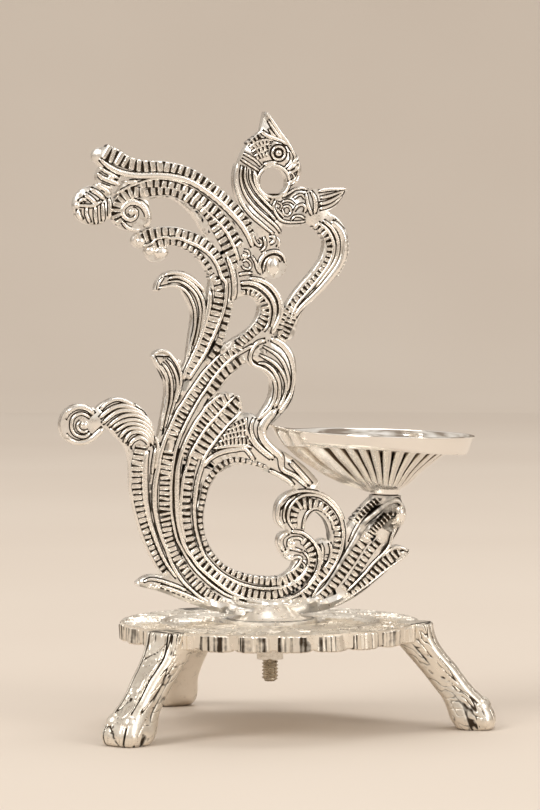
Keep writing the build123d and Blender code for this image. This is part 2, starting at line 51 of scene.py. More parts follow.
# Smooth ridges of the casting: x along it and z up, from the stud, then the ridge's width
RIDGES = {
    "crown_rail": [(-52.6, 171.8, 0.9), (-49.4, 169.3, 1.6), (-45.4, 167.5, 1.8), (-40.6, 166.8, 1.8),
        (-35, 166.9, 1.7), (-30, 166.4, 1.8), (-25, 165.1, 1.8), (-20, 162.1, 1.8), (-15, 158.2, 1.8),
        (-10, 153.1, 1.7), (-7.4, 149.2, 1.5), (-5.8, 145.4, 1.2)],
    "t2_top": [(-47.7, 161.3, 0.8), (-45.4, 162.6, 0.8), (-42.7, 163.9, 0.8), (-39.6, 164.9, 0.8),
        (-36.6, 165.7, 0.7), (-32.8, 165.9, 0.7), (-29, 165.1, 0.6), (-25.2, 163.7, 0.6)],
    "t2_mid": [(-22.2, 157.9, 0.7), (-18.9, 155.2, 0.8), (-15.9, 152.3, 0.9), (-13.7, 149.6, 1.1),
        (-12.1, 146.6, 1.1), (-11, 143.9, 1.1), (-10.2, 141.2, 1.1)],
    "spiral": [(-40.1, 150.8, 1), (-42.2, 150.5, 1.1), (-44.4, 151.5, 1.1), (-45.7, 153.1, 1)],
    "spiral_right": [(-41.2, 159.2, 1.5), (-39.1, 157.6, 1.9), (-38, 155.4, 2), (-37.9, 153.1, 1.9),
        (-38.9, 151.4, 1.4)],
    "spiral_turn": [(-37.9, 154.4, 1), (-39.6, 157.6, 1.5), (-42.2, 159, 1.8), (-44.4, 158.3, 1.6),
        (-45.7, 156.6, 1.5), (-45.2, 154.6, 1.4), (-43.4, 153.6, 1.3), (-41.7, 154.4, 1.1),
        (-41.4, 156.1, 1.1), (-42.7, 157.2, 1)],
    "spiral_heart": [(-43.7, 156.1, 1.5), (-42.8, 155.5, 1.5)],
    "bulb_top_a": [(-53.7, 164.2, 1.1), (-51.2, 162.8, 1.3), (-49, 161.3, 1.1)],
    "bulb_top_b": [(-55.5, 162.8, 1.3), (-53.2, 161.6, 1.5), (-51, 159.6, 1.3)],
    "bulb_top_c": [(-57.3, 161.4, 1.3), (-55.5, 160.1, 1.5), (-53.5, 158.3, 1.3)],
    "bulb_rib": [(-59.8, 157.8, 0.8), (-57.3, 157.8, 1), (-54.7, 157.8, 1.1), (-52.2, 159.1, 1.1)],
    "bulb_low_a": [(-49.7, 160.3, 1), (-49.5, 157.6, 1.2), (-49.6, 153.9, 1.1)],
    "bulb_low_b": [(-51.7, 158.8, 1), (-51.6, 156.1, 1.2), (-51.5, 153.1, 1.1)],
    "bulb_low_c": [(-53.9, 157.8, 1), (-53.9, 155.1, 1.2), (-53.6, 152.3, 1.1)],
    "bulb_low_d": [(-56.4, 157.6, 1), (-56.6, 155.4, 1.1), (-55.5, 152.6, 1)],
    "bulb_low_e": [(-59, 156.8, 1.3), (-59, 155.1, 1.4), (-57.8, 153.4, 1.1)],
    "bulb_top_d": [(-59, 158.8, 1.1), (-57.5, 159.8, 1.1), (-56.5, 159.1, 1.1)],
    "trefoil_a": [(-52.5, 169.2, 1), (-50.7, 168, 1.1), (-48.7, 167, 1.1), (-46.7, 165.9, 0.9)],
    "trefoil_b": [(-53.2, 167.5, 1.1), (-52, 166.3, 1.4), (-50.2, 165.5, 1.5), (-48.2, 164.8, 1.4),
        (-46.2, 164, 1.1)],
    "trefoil_c": [(-53, 164.5, 1.1), (-51, 163.5, 1.3), (-48.7, 162.9, 1.1)],
    "trefoil_d": [(-45.2, 165, 1), (-43.2, 164.8, 1.2), (-40.9, 165.3, 0.9)],
    "t3_rail": [(-39.6, 145.7, 0.8), (-37.1, 146.4, 0.8), (-35.3, 147.9, 0.8), (-32.1, 148.5, 0.9),
        (-31.5, 148.1, 0.9), (-28.5, 148.1, 1.1), (-26.1, 147.2, 1.2), (-23.3, 146.1, 1.2),
        (-20.9, 144.7, 1.2), (-18.9, 143.1, 1.2), (-17.3, 141, 1.2), (-16.2, 138.8, 1.2),
        (-15.4, 136.4, 1.2), (-14.1, 134.7, 1.1), (-14, 132.2, 1.1), (-14.2, 129.7, 1.1),
        (-14.7, 127.2, 1.1), (-15.3, 125, 1.1), (-16.1, 123, 1.1), (-17, 120.8, 1.1), (-18, 118.5, 1.1),
        (-19, 116.5, 1.1), (-20, 114.3, 1.1), (-21.3, 112.1, 1.1), (-22.8, 109.8, 1.1),
        (-24.1, 107.9, 1.1), (-25.6, 105.6, 1.1)],
    "stem_left": [(-19, 132.5, 1), (-19, 130, 1.3), (-19.3, 127.5, 1.4), (-19.9, 124.5, 1.4),
        (-20.8, 121.5, 1.3), (-21.7, 118.8, 1.3), (-22.7, 116.1, 1.3), (-23.8, 113.6, 1.3),
        (-25.1, 110.9, 1.3), (-26.4, 108.4, 1.1), (-27, 105.6, 1)],
    "stem_heart": [(-13.7, 142.5, 1.3), (-12.7, 140.2, 1.5), (-11.9, 137.5, 1.6), (-11.5, 134.5, 1.6),
        (-11.5, 131.7, 1.5), (-12, 129.2, 1.3)],
    "heart_inner": [(-9.5, 133.1, 0.6), (-6.9, 133, 0.8), (-4.4, 132, 0.8), (-2.3, 130.2, 0.8),
        (-0.9, 128.2, 0.8), (-0.5, 126.2, 0.8), (-0.7, 124, 0.8), (-1.3, 121.7, 0.8), (-2.6, 120, 0.8)],
    "heart_mid": [(-9.7, 134.5, 1.1), (-6.9, 134.6, 1.3), (-4.4, 134, 1.4), (-1.8, 132.2, 1.4),
        (-0, 130, 1.4), (0.9, 127.5, 1.3), (0.9, 125.2, 1.1), (0.4, 123, 1), (-0.2, 121.2, 0.7)],
    "heart_outer": [(-6.9, 136, 1), (-3.9, 135.5, 1.3), (-1, 134.2, 1.4), (1, 132.2, 1.5), (2.3, 130, 1.5),
        (2.9, 127.5, 1.6), (2.8, 125.2, 1.6), (1.9, 123, 1.6), (0.9, 121, 1.5), (0.2, 119, 1.3)],
    "heart_rail": [(-5.8, 115.8, 1), (-8.3, 114.4, 1), (-10.9, 112.9, 1), (-13.2, 111.1, 1),
        (-15.2, 109.2, 1), (-17.2, 106.9, 1), (-18.7, 104.9, 1), (-20.3, 102.5, 1), (-22.1, 100, 0.9),
        (-23.6, 97.5, 0.9), (-25.3, 94.5, 1), (-26.7, 91.8, 1), (-27.9, 89.3, 1), (-28.9, 86.6, 1),
        (-29.7, 84.1, 1), (-30.5, 79.3, 0.9), (-30.8, 76.5, 0.9), (-31, 73.5, 0.9), (-31, 70.6, 0.9),
        (-31, 67.6, 0.9), (-30.8, 65.1, 0.9), (-30.3, 62.3, 0.9), (-29.8, 59.8, 0.9), (-29.1, 57.3, 0.8),
        (-27.9, 55, 0.8), (-26.6, 52.5, 0.8), (-25.1, 50.2, 0.9), (-23.3, 47.9, 0.9), (-21.3, 45.9, 0.9),
        (-19, 43.8, 0.9), (-16.7, 42.1, 0.9), (-14.2, 40.5, 0.9), (-11.6, 39.5, 0.8)],
    "ladder_left": [(-15.7, 113.3, 0.7), (-18.7, 110.3, 0.8), (-21.3, 107.3, 1), (-22.6, 105.5, 1),
        (-24.1, 103.4, 1), (-25.6, 101.3, 1), (-27.4, 98.5, 1), (-28.9, 96.3, 1.1), (-30.2, 93.6, 1.1),
        (-31.4, 90.9, 1.1), (-32.7, 87.9, 1.2), (-33.7, 84.9, 1.3), (-34.5, 82, 1.3), (-34.8, 79.3, 1.4),
        (-35.5, 76.3, 1.5), (-35.9, 73.1, 1.5), (-36, 70.1, 1.5), (-35.9, 67.2, 1.5), (-35.5, 64.4, 1.4),
        (-34.9, 61.7, 1.3), (-34.1, 58.9, 1.3), (-33.2, 56.4, 1.2), (-32.1, 53.9, 1.2), (-30.9, 50.5, 1.1),
        (-29.1, 47.3, 1.1), (-27.1, 44.5, 1.1), (-24.8, 42.2, 1), (-22.5, 40.2, 1), (-20.3, 38.8, 0.9),
        (-18, 37.6, 0.8)],
    "feather_mid": [(-10.9, 100.9, 0.6), (-13.2, 98.7, 0.8), (-15.2, 96.4, 0.9), (-17.2, 94.2, 1),
        (-19.3, 92, 1), (-21, 89.8, 1), (-22.6, 87.3, 1), (-24.1, 84.8, 1), (-25.3, 82.1, 1.1),
        (-25.9, 79.7, 0.9), (-26.9, 77, 1), (-27.4, 74.5, 1), (-27.8, 70, 1), (-28.1, 66.3, 1),
        (-27.8, 63, 1), (-27.3, 60.1, 1), (-26.7, 57.6, 0.9)],
    "feather_edge": [(-9.3, 96.1, 0.8), (-11.1, 94.1, 0.8), (-13.2, 92.2, 0.8), (-14.9, 90.2, 0.8),
        (-16.7, 88, 0.9), (-18.2, 86, 1), (-19.8, 83.8, 1), (-21, 81.5, 1.1), (-21.3, 80.1, 1.3),
        (-22.2, 77.4, 1.4), (-22.9, 74.9, 1.4), (-23.4, 71.9, 1.4), (-23.7, 69, 1.3), (-23.9, 66.2, 1.1),
        (-23.7, 63.7, 1.1), (-23.5, 61.2, 1), (-23, 59, 1), (-22.4, 56.7, 1), (-21, 52.9, 1),
        (-19.5, 50.8, 1), (-17.7, 48.8, 1), (-15.7, 47, 1), (-13.4, 45.5, 1), (-10.8, 44.2, 1),
        (-8.3, 43.3, 1), (-5.7, 42.6, 1), (-2.9, 42.2, 1), (-0.1, 42.1, 1), (2.4, 42.3, 1), (5, 42.9, 1)],
    "feather_end": [(-11.4, 100.7, 0.7), (-10.1, 100.3, 0.8), (-9.6, 98.4, 0.8), (-9.3, 96.3, 0.8)],
    "feather_rail": [(-15.7, 101.2, 0.9), (-17.7, 99.5, 1), (-19.8, 97.7, 1.1), (-21.3, 95.5, 1.1),
        (-23.1, 93, 1.3), (-24.6, 90.5, 1.3), (-25.9, 88.1, 1.3), (-26.9, 85.8, 1.3), (-27.8, 83.4, 1.3),
        (-28.4, 81.2, 1.2), (-28.9, 78.5, 1.4), (-29.1, 75.5, 1.5), (-29.2, 72.5, 1.5), (-29.2, 69.5, 1.5),
        (-29.1, 66.6, 1.5), (-28.9, 63.8, 1.4), (-28.5, 61.3, 1.4), (-27.8, 58.3, 1.3), (-26.8, 55.6, 1.3),
        (-25.6, 53.3, 1.2), (-24.6, 52.2, 1.2), (-22.8, 49.6, 1.2), (-20.8, 47.6, 1.2), (-18.5, 45.6, 1.2),
        (-15.9, 43.5, 1.2), (-13.4, 41.7, 1.2), (-10.6, 40.2, 1.1), (-7.8, 39.1, 1)],
    "fan_a": [(-13.9, 90.2, 0.6), (-12.1, 90.9, 0.7), (-10.1, 91.6, 0.7), (-7.8, 92.4, 0.7)],
    "fan_b": [(-15.2, 88.7, 0.6), (-12.1, 89.5, 0.7), (-9.6, 90, 0.7), (-7.3, 90.2, 0.7)],
    "fan_c": [(-16.5, 86.7, 0.6), (-13.4, 87.7, 0.7), (-10.6, 88.2, 0.7), (-7.8, 88.2, 0.7)],
    "fan_d": [(-18, 84.7, 0.7), (-15.2, 85.2, 1), (-12.1, 85.5, 1), (-8.3, 85.5, 1), (-6, 84.9, 0.9)],
    "ring_top": [(-21.1, 79.1, 1.1), (-20.1, 80.6, 1.3), (-18.5, 82.1, 1.4), (-16.5, 83.2, 1.4),
        (-13.7, 84, 1.4), (-11.2, 84.3, 1.3), (-8.1, 84.4, 1.3), (-5.4, 80.9, 1.1)],
    "ring_low": [(4.6, 42.5, 0.9), (6.9, 43.5, 0.9), (8.7, 44.8, 0.9), (10.2, 46.5, 0.8),
        (10.9, 48.3, 0.7)],
    "breast_a": [(-7.9, 94.1, 0.6), (-7.9, 90.9, 0.8), (-6.9, 88.1, 0.8), (-5.1, 85.4, 0.8),
        (-2.8, 83.3, 0.8), (-0.3, 81.4, 0.8)],
    "breast_b": [(-5.4, 93.9, 0.9), (-6.3, 91.6, 1), (-6.1, 89.1, 1.1), (-5.1, 86.9, 1.1),
        (-3.3, 84.8, 1.1), (-1.3, 83.1, 1.1), (0.8, 81.4, 1.1)],
    "breast_c": [(1.3, 96.3, 2), (-0.3, 94.6, 2.4), (-1.9, 92.8, 2.6), (-3, 90.6, 2.6), (-2.7, 88.1, 2.4),
        (-1.2, 85.8, 2.3), (0.9, 83.8, 2.3), (2.8, 81.8, 2), (3.3, 78.3, 1.5), (6.9, 76.3, 1.4),
        (9.4, 74.3, 1.3), (11, 72.7, 1)],
    "breast_d": [(5.6, 80.5, 1.5), (7.9, 78.1, 1.5), (10.2, 75.6, 1.5), (12.3, 73.3, 1.3)],
    "breast_e": [(-0.8, 77.9, 1), (2.3, 76.4, 1.3), (5.1, 74.7, 1.3), (6.9, 73.1, 1)],
    "claw_a": [(-0.3, 117.7, 1.5), (2.3, 116.7, 1.9), (4.6, 114.7, 2.1), (6, 112.3, 2), (6.7, 109.5, 1.6),
        (6.9, 106.7, 1.3), (6.6, 104, 1.1), (6.1, 101.7, 1.1), (5.2, 99.5, 1.3), (3.8, 97.3, 1.4),
        (2.3, 95, 1.5)],
    "claw_b": [(-2.8, 115.5, 0.6), (-0.8, 114.4, 0.8), (1.5, 112.9, 1), (3.3, 110.9, 1.1), (4.5, 108.5, 1),
        (5.2, 106, 0.9), (5.3, 103.8, 0.7), (4.8, 101.8, 0.6)],
    "claw_c": [(-3.9, 113, 0.6), (-1.8, 111.9, 0.9), (0.8, 110.4, 1.1), (2.8, 108.2, 1.1), (4, 105.8, 1),
        (4.5, 103.3, 0.9), (4, 100.8, 0.9), (3.1, 98.5, 1.1), (2, 96.5, 1.3)],
    "claw_d": [(-4.1, 110.3, 0.7), (-2.3, 110.2, 0.9), (-0, 108.7, 1.1), (1.6, 106.4, 1.1), (2.4, 104, 1),
        (2.4, 101.5, 1), (1.9, 99, 1), (0.8, 97, 1.1)],
    "claw_e": [(-1.8, 117.3, 1.3), (-4.4, 116.5, 1.3), (-6, 114.5, 1.1), (-6.7, 112.1, 1.1),
        (-5.9, 110.1, 1.1), (-3.9, 109.2, 0.9), (-1.8, 108.2, 0.9), (0.1, 106.3, 1.1), (1.1, 103.8, 1.1),
        (1.1, 101.3, 1.1), (0.5, 98.8, 1.1), (-0.9, 96.4, 1.1), (-2.8, 94.6, 1.1), (-4.6, 93.3, 1)],
    "neck_a": [(-10.5, 170.6, 0.6), (-11.1, 166.9, 0.8), (-10.9, 163.7, 0.9), (-9.9, 160.4, 1),
        (-8.3, 157.4, 1.1), (-6, 154.7, 1.1), (-3.6, 152.7, 1.1), (-0.8, 150.4, 0.9), (0.7, 149.2, 0.8)],
    "neck_b": [(-9.2, 170.1, 0.5), (-9.6, 166.9, 0.7), (-9.1, 163.7, 0.8), (-7.8, 160.7, 0.9),
        (-5.9, 158.2, 1), (-3.6, 155.9, 1), (-1, 153.7, 1), (1.3, 151.7, 0.9), (2.8, 149.7, 0.8)],
    "neck_c": [(-8.1, 169.7, 0.5), (-8.3, 166.9, 0.7), (-7.7, 164.2, 0.8), (-6.4, 161.7, 0.9),
        (-4.6, 159.4, 1), (-2.6, 157.4, 1), (-0.5, 155.4, 0.9), (1.3, 153.4, 0.8)],
    "neck_d": [(-6.7, 168.9, 0.5), (-6.7, 166.4, 0.7), (-5.8, 163.9, 0.8), (-4.4, 161.7, 0.8),
        (-2.6, 159.7, 0.9), (-0.8, 157.9, 0.9), (0.5, 156.4, 0.7)],
    "neck_e": [(-5.3, 168.4, 1), (-5, 166.2, 1.4), (-4.4, 163.7, 1.2), (-3.1, 161.7, 1), (-1.6, 160, 0.9),
        (-0.3, 159.2, 0.8)],
    "collar_top": [(-8.7, 173.6, 0.8), (-6.9, 172.7, 0.8), (-4.9, 171.4, 0.8), (-3.3, 169.7, 0.7)],
    "collar_low": [(-9.5, 171.9, 0.8), (-7.4, 170.5, 0.8), (-5.6, 169.4, 0.8), (-3.9, 168.3, 0.7)],
    "cheek_a": [(5.6, 174.2, 0.6), (6.1, 172.2, 0.8), (5.2, 170.2, 0.7), (3.9, 169.2, 0.6)],
    "cheek_b": [(6.8, 174.2, 0.7), (7.1, 171.9, 0.8), (6, 169.8, 0.8), (4.7, 168.7, 0.6)],
    "crest_a": [(-1.4, 185.8, 0.7), (0.7, 182.7, 1.1), (3, 179.4, 1.2), (5, 176.8, 1.2), (6.5, 174.3, 1),
        (7.5, 172.2, 0.8)],
    "crest_b": [(-1.2, 183.7, 0.6), (0.5, 181.1, 0.9), (2, 179.1, 0.9), (3.6, 177.4, 0.8)],
    "crest_c": [(-1, 181.2, 0.5), (-0, 179.7, 0.8), (1.5, 178.3, 0.8)],
    "brow": [(-3.3, 180.2, 1.3), (-1.3, 178.9, 1.3), (0.7, 178.2, 1.2), (3, 177.4, 1), (4.8, 176.2, 0.8)],
    "crown_row_a": [(-7.2, 175.4, 0.6), (-4.6, 177, 0.7), (-2.1, 177.7, 0.7), (0.5, 177.4, 0.6)],
    "crown_row_b": [(-6.4, 173.9, 0.6), (-3.9, 175.4, 0.7), (-1.6, 176.3, 0.7), (-0, 176.2, 0.5)],
    "crown_row_c": [(-5.6, 172.7, 0.6), (-3.3, 174, 0.7), (-1, 174.8, 0.6)],
    "under_eye": [(-2.6, 170.2, 1), (-0.3, 170.7, 1.2), (1.8, 170.9, 0.9)],
    "nape_leaf_a": [(4.8, 166.9, 0.5), (5.6, 168.2, 0.6), (6.8, 166.9, 0.6), (7.1, 165.2, 0.6),
        (5.9, 164.1, 0.5)],
    "nape_leaf_b": [(7.1, 168.9, 0.5), (7.9, 169.8, 0.6), (8.3, 168.2, 0.6), (7.6, 166.8, 0.5)],
    "nape_edge": [(4.8, 168.6, 0.7), (6.6, 169.6, 0.8), (8.2, 170.9, 0.8), (8.7, 168.7, 0.8),
        (8.2, 166.2, 0.8), (7.1, 164.3, 0.8)],
    "beak_rim": [(1.3, 159.7, 0.7), (0.5, 157.7, 0.8), (1.3, 155.4, 0.9), (2.9, 153.5, 0.9),
        (5.1, 152.9, 0.8), (7.9, 152.9, 0.7), (10.5, 153.2, 0.7)],
    "beak_top": [(3, 160.4, 0.7), (5.4, 161.7, 0.7), (7.1, 162.8, 0.8), (9.2, 163.2, 0.8),
        (11.2, 162.7, 0.7)],
    "beak_band_a": [(10.6, 161.7, 0.7), (11, 158.9, 1), (11.8, 156.4, 1.1), (12.5, 154.9, 0.8)],
    "beak_band_b": [(12, 162.3, 0.8), (13.3, 160.2, 1.3), (13.6, 157.7, 1.3), (13.2, 155.4, 0.9)],
    "beak_a": [(14.3, 162.2, 0.9), (17.4, 162.7, 1), (20.8, 162.9, 0.8), (23.3, 163, 0.5)],
    "beak_b": [(14.8, 160.2, 0.8), (17.4, 160.7, 1), (20.2, 161.6, 0.7), (22.6, 162.4, 0.5)],
    "beak_c": [(14.6, 158.4, 1), (17.2, 158.9, 1.1), (19.7, 160.1, 0.9), (22.3, 161.9, 0.5)],
    "beak_d": [(14.6, 156.9, 1), (17.2, 157.5, 0.9), (19.5, 158.7, 0.8), (21.8, 160.8, 0.5)],
    "scale_a": [(3, 158.7, 0.7), (4.3, 159.4, 0.7), (5.9, 159.2, 0.7), (7.1, 158.2, 0.7)],
    "scale_b": [(3.3, 156.9, 0.7), (4.3, 157.8, 0.7), (5.6, 157.4, 0.7), (5.9, 155.9, 0.7),
        (4.8, 154.9, 0.7), (3.7, 155.4, 0.7), (3.3, 156.8, 0.7)],
    "scale_c": [(1.8, 158.9, 0.6), (3, 158.2, 0.6), (2.8, 156.9, 0.6)],
    "scale_d": [(1.3, 157.2, 0.6), (2.4, 155.9, 0.7), (3.8, 154.4, 0.7)],
    "scale_e": [(6.9, 156.2, 0.7), (7.9, 157.7, 0.8), (9.5, 158.2, 0.9), (10.5, 157.2, 0.9),
        (10, 155.7, 0.8)],
    "scale_f": [(5.9, 153.4, 0.6), (7.1, 154.7, 0.7), (8.9, 154.7, 0.8), (10.2, 153.9, 0.7)],
    "scale_g": [(6.6, 159.9, 0.7), (7.9, 160.9, 0.7), (9.2, 161.2, 0.7), (10.2, 159.9, 0.7)],
    "knob_ring": [(-3.1, 137.2, 0.9), (-3.9, 139.5, 1.1), (-3.3, 141.7, 1.2), (-1.9, 143.2, 1.2),
        (-0, 144, 1.2), (2, 143.9, 1.1), (3.6, 142.6, 0.9), (4.3, 140.7, 0.8)],
    "knob_inner": [(-2.6, 138, 0.6), (-2.3, 140.2, 0.7), (-1.3, 141.9, 0.7), (0.4, 142.6, 0.7),
        (2, 142.2, 0.7), (3, 141, 0.6)],
    "blossom_a": [(-5.9, 149.7, 0.7), (-5.6, 148, 0.8), (-4.8, 146.4, 0.8), (-3.6, 145.7, 0.8),
        (-3.2, 146.9, 0.7), (-4.1, 148, 0.6)],
    "blossom_b": [(-2.6, 148.6, 0.8), (-2, 146.7, 0.9), (-2.3, 145.1, 0.8), (-3.6, 144.1, 0.7)],
    "blossom_c": [(-0.8, 148.5, 1), (0.7, 148.5, 1.1), (0.5, 147, 1), (-0.7, 146.4, 0.9)],
    "blossom_d": [(-8.7, 144.5, 0.7), (-7.3, 144.1, 0.7), (-6.9, 142.8, 0.7), (-8.2, 142.3, 0.7),
        (-9.1, 143.3, 0.6)],
    "blossom_e": [(-9.1, 141, 0.7), (-7.7, 141.5, 0.7), (-6.5, 140.3, 0.7), (-6.9, 138.8, 0.7),
        (-8.5, 139, 0.7), (-9.2, 140, 0.6)],
    "blossom_f": [(-6.2, 142.7, 0.7), (-5.1, 141, 0.8), (-4.6, 139.2, 0.8), (-3.7, 137.5, 0.7)],
    "blossom_g": [(1.8, 148.4, 0.9), (2.3, 146.7, 1), (1.8, 145.2, 0.9)],
    "heart_ledge": [(-10.2, 137.1, 1), (-8.2, 137.5, 0.9), (-5.9, 137.5, 0.8)],
    "loop_a": [(14.3, 152.7, 1), (16.8, 150.9, 1.1), (18.4, 148.5, 1.1), (19.2, 145.7, 1.1),
        (18.9, 143.2, 1.1), (17.9, 140.7, 1.1), (16.4, 138.2, 1.1), (14.6, 135.9, 1), (12.5, 133.4, 1),
        (10.5, 131.2, 0.9), (8.4, 128.9, 0.9), (7.1, 126.9, 0.8), (6.2, 124.7, 0.8), (5.6, 122.2, 0.8)],
    "loop_b": [(15.9, 153.4, 1), (18.4, 151.4, 1.1), (20, 148.8, 1.1), (20.6, 146, 1.1),
        (20.2, 142.9, 1.1), (19.2, 140.4, 1.1), (17.7, 138.2, 1), (15.6, 135.6, 0.8), (13.6, 133.2, 0.7)],
    "loop_c": [(18.4, 153.1, 1.5), (20.9, 151.1, 2), (22.2, 148.5, 2.2), (22.5, 145.5, 2.2),
        (22, 142.4, 2.2), (20.8, 139.7, 2.2), (19, 137.2, 2.1), (17, 134.8, 2), (14.8, 132.4, 1.9),
        (12.5, 130.2, 1.8), (10.2, 128.2, 1.6), (8.2, 126.1, 1.4), (7.1, 124.1, 1.1)],
    "outer_leaf_a": [(-33.2, 136.8, 0.6), (-30.9, 137.7, 1.1), (-28.4, 137.6, 1.3), (-26, 136.8, 1.4),
        (-23.7, 135.3, 1.3), (-21.8, 133.5, 1.2), (-20.4, 131.9, 1)],
    "outer_leaf_b": [(-31.7, 136, 0.8), (-29.2, 136.5, 0.9), (-26.6, 135.7, 1.1), (-24.4, 134.2, 1.1),
        (-22.6, 132.2, 1.1), (-21.3, 129.8, 1), (-20.8, 127, 0.9), (-21.1, 124, 0.9), (-21.6, 121, 0.8),
        (-22.2, 118.1, 0.7), (-22.7, 115.3, 0.6)],
    "outer_leaf_c": [(-32, 134.9, 0.5), (-29.2, 135.2, 0.7), (-26.9, 134.5, 0.9), (-24.9, 133, 0.9),
        (-23.3, 131, 0.9), (-22.3, 128.5, 0.9), (-21.9, 125.8, 0.8), (-22.2, 123, 0.7),
        (-22.7, 120.1, 0.7), (-23.3, 117.6, 0.6), (-24, 115.6, 0.5)],
    "outer_leaf_d": [(-34.9, 133.1, 0.6), (-32.2, 133.7, 0.8), (-29.7, 133.8, 0.9), (-27.4, 133, 0.9),
        (-25.6, 131.3, 0.9), (-24.4, 129, 0.9), (-23.6, 126.5, 0.9), (-23.5, 123.5, 0.9),
        (-23.8, 120.6, 0.8), (-24.5, 117.8, 0.8), (-25.2, 115.1, 0.7), (-25.5, 112.4, 0.6)],
    "outer_leaf_tip": [(-35.1, 132.6, 0.6), (-34.5, 134.8, 0.8), (-33.3, 136.4, 0.8)],
    "inner_leaf_a": [(-36.1, 112.8, 0.7), (-35.3, 113.8, 0.8), (-33.7, 114.3, 0.9), (-31.9, 113.8, 1.1),
        (-30.3, 112.1, 1.1), (-28.9, 110.1, 1.1), (-28.1, 108, 1), (-27.8, 105.8, 0.9),
        (-28.1, 103.3, 0.8), (-28.9, 100.8, 0.7), (-29.7, 98.6, 0.7)],
    "inner_leaf_b": [(-32.4, 111.8, 0.6), (-30.9, 110.1, 0.9), (-29.7, 107.9, 0.9), (-29, 105.5, 0.9),
        (-29, 103, 0.9), (-29.6, 100.3, 0.8), (-30.3, 97.6, 0.7), (-31, 95.1, 0.7)],
    "inner_leaf_c": [(-33.7, 110.8, 0.7), (-32.2, 109, 0.9), (-31.2, 106.7, 0.9), (-30.7, 104.3, 0.9),
        (-30.7, 101.6, 0.9), (-31, 98.8, 0.8), (-31.7, 96.1, 0.7), (-32.3, 93.6, 0.7), (-32.9, 91.1, 0.6)],
    "inner_leaf_d": [(-36, 112.3, 0.7), (-35, 110.3, 0.8), (-33.5, 108.3, 0.8), (-32.4, 106.1, 0.8),
        (-32.1, 103.6, 0.8), (-32.1, 100.8, 0.8), (-32.4, 98.1, 0.8), (-32.9, 95.4, 0.7),
        (-33.5, 92.6, 0.7), (-34, 90.2, 0.6)],
    "curl_rim": [(-54.5, 95.3, 1.5), (-55.8, 96.9, 1.6), (-57.8, 97.6, 1.6), (-60, 97.5, 1.5),
        (-62.2, 96.2, 1.5), (-63.5, 94.1, 1.4), (-63.9, 91.6, 1.4), (-63.2, 89.3, 1.4), (-61.5, 87.7, 1.5),
        (-59.3, 86.9, 1.5), (-56.8, 87.2, 1.6), (-54.8, 88.3, 1.7), (-53, 89.8, 1.8), (-51.5, 91.3, 1.5)],
    "curl_inner": [(-55.5, 94.3, 0.8), (-57.3, 95.5, 0.9), (-59, 95.6, 1), (-60.7, 94.5, 1),
        (-61.3, 92.4, 1), (-60.7, 90.1, 1), (-59, 88.9, 1), (-57, 88.8, 1), (-55.5, 90.1, 0.9)],
    "curl_heart": [(-58.5, 93.6, 0.8), (-59.5, 92.3, 0.8), (-59, 90.8, 0.9), (-57.5, 90.1, 0.9),
        (-56.1, 90.8, 0.8)],
    "arch_a": [(-52.6, 96.7, 0.9), (-50.5, 98.7, 1.1), (-47.7, 99.8, 1.1), (-44.7, 99.3, 1.2),
        (-41.9, 97.9, 1.2)],
    "arch_b": [(-52.8, 94.2, 1), (-50.5, 96.2, 1.3), (-47.7, 97.7, 1.3), (-44.7, 97.9, 1.3),
        (-41.7, 96.9, 1.2), (-38.9, 95.2, 1)],
    "arch_c": [(-52, 92.5, 0.9), (-49.7, 94.6, 1.2), (-47, 96.2, 1.3), (-43.9, 96.5, 1.2),
        (-40.9, 95.8, 1.2), (-38.4, 94.1, 1.1), (-36.8, 92, 0.9)],
    "arch_d": [(-50.2, 91.6, 0.8), (-48.2, 93.3, 1.1), (-45.5, 94.8, 1.2), (-42.2, 95.1, 1.1),
        (-39.7, 94.3, 1.1), (-37.6, 92.6, 1), (-36.3, 90.5, 0.9)],
    "arch_e": [(-49, 91.1, 0.8), (-47.2, 92.5, 1), (-44.7, 93.5, 1.1), (-41.9, 93.7, 1.1),
        (-39.2, 92.8, 1), (-37.1, 90.8, 1), (-36.1, 88.6, 0.8)],
    "arch_f": [(-48, 90, 0.9), (-46.2, 91.3, 1), (-44.1, 92.4, 1.1), (-41.4, 92.4, 1.1), (-38.9, 91.4, 1),
        (-37.1, 89.4, 0.9), (-36.2, 87, 0.8)],
    "arch_g": [(-46.6, 88.2, 1.1), (-45.2, 90.1, 1.1), (-43.3, 91.1, 1.1), (-40.9, 91.1, 1.1),
        (-38.7, 90.1, 1), (-37.2, 88.1, 0.9), (-36.4, 85.8, 0.8)],
    "arch_h": [(-45.3, 86.7, 1.1), (-44.2, 88.7, 1.1), (-42.6, 89.9, 1.1), (-40.3, 89.9, 1.2),
        (-38.4, 88.7, 1.1), (-37.3, 86.5, 0.9)],
    "arch_i": [(-43.8, 85.6, 1.1), (-42.6, 87.4, 1.2), (-40.4, 88.4, 1.3), (-38.4, 87.2, 1.1),
        (-37.6, 85.4, 0.8)],
    "curl_rail": [(-38.2, 84.6, 1.3), (-38.8, 81.6, 1.7), (-39, 78.1, 1.8), (-39, 75.1, 1.8),
        (-38.9, 72.2, 1.8), (-38.7, 69.2, 1.7), (-38.2, 66.4, 1.6), (-37.7, 63.7, 1.5), (-36.9, 61, 1.4),
        (-36, 58.5, 1.3), (-35, 55.7, 1.2), (-33.8, 52.9, 1.1), (-32.4, 50.2, 1), (-30.8, 47.8, 0.9),
        (-29.2, 45.8, 0.8)],
    "curl_edge": [(-35.7, 85.1, 0.8), (-36.1, 82.6, 0.9), (-36.5, 80.2, 0.9), (-36.6, 79.3, 0.9),
        (-36.7, 77.1, 0.7)],
    "curl_back": [(-35.7, 88.6, 0.7), (-35.1, 86.6, 0.9), (-34.9, 84.1, 1), (-35.3, 81.8, 0.9),
        (-35.9, 78.8, 0.7)],
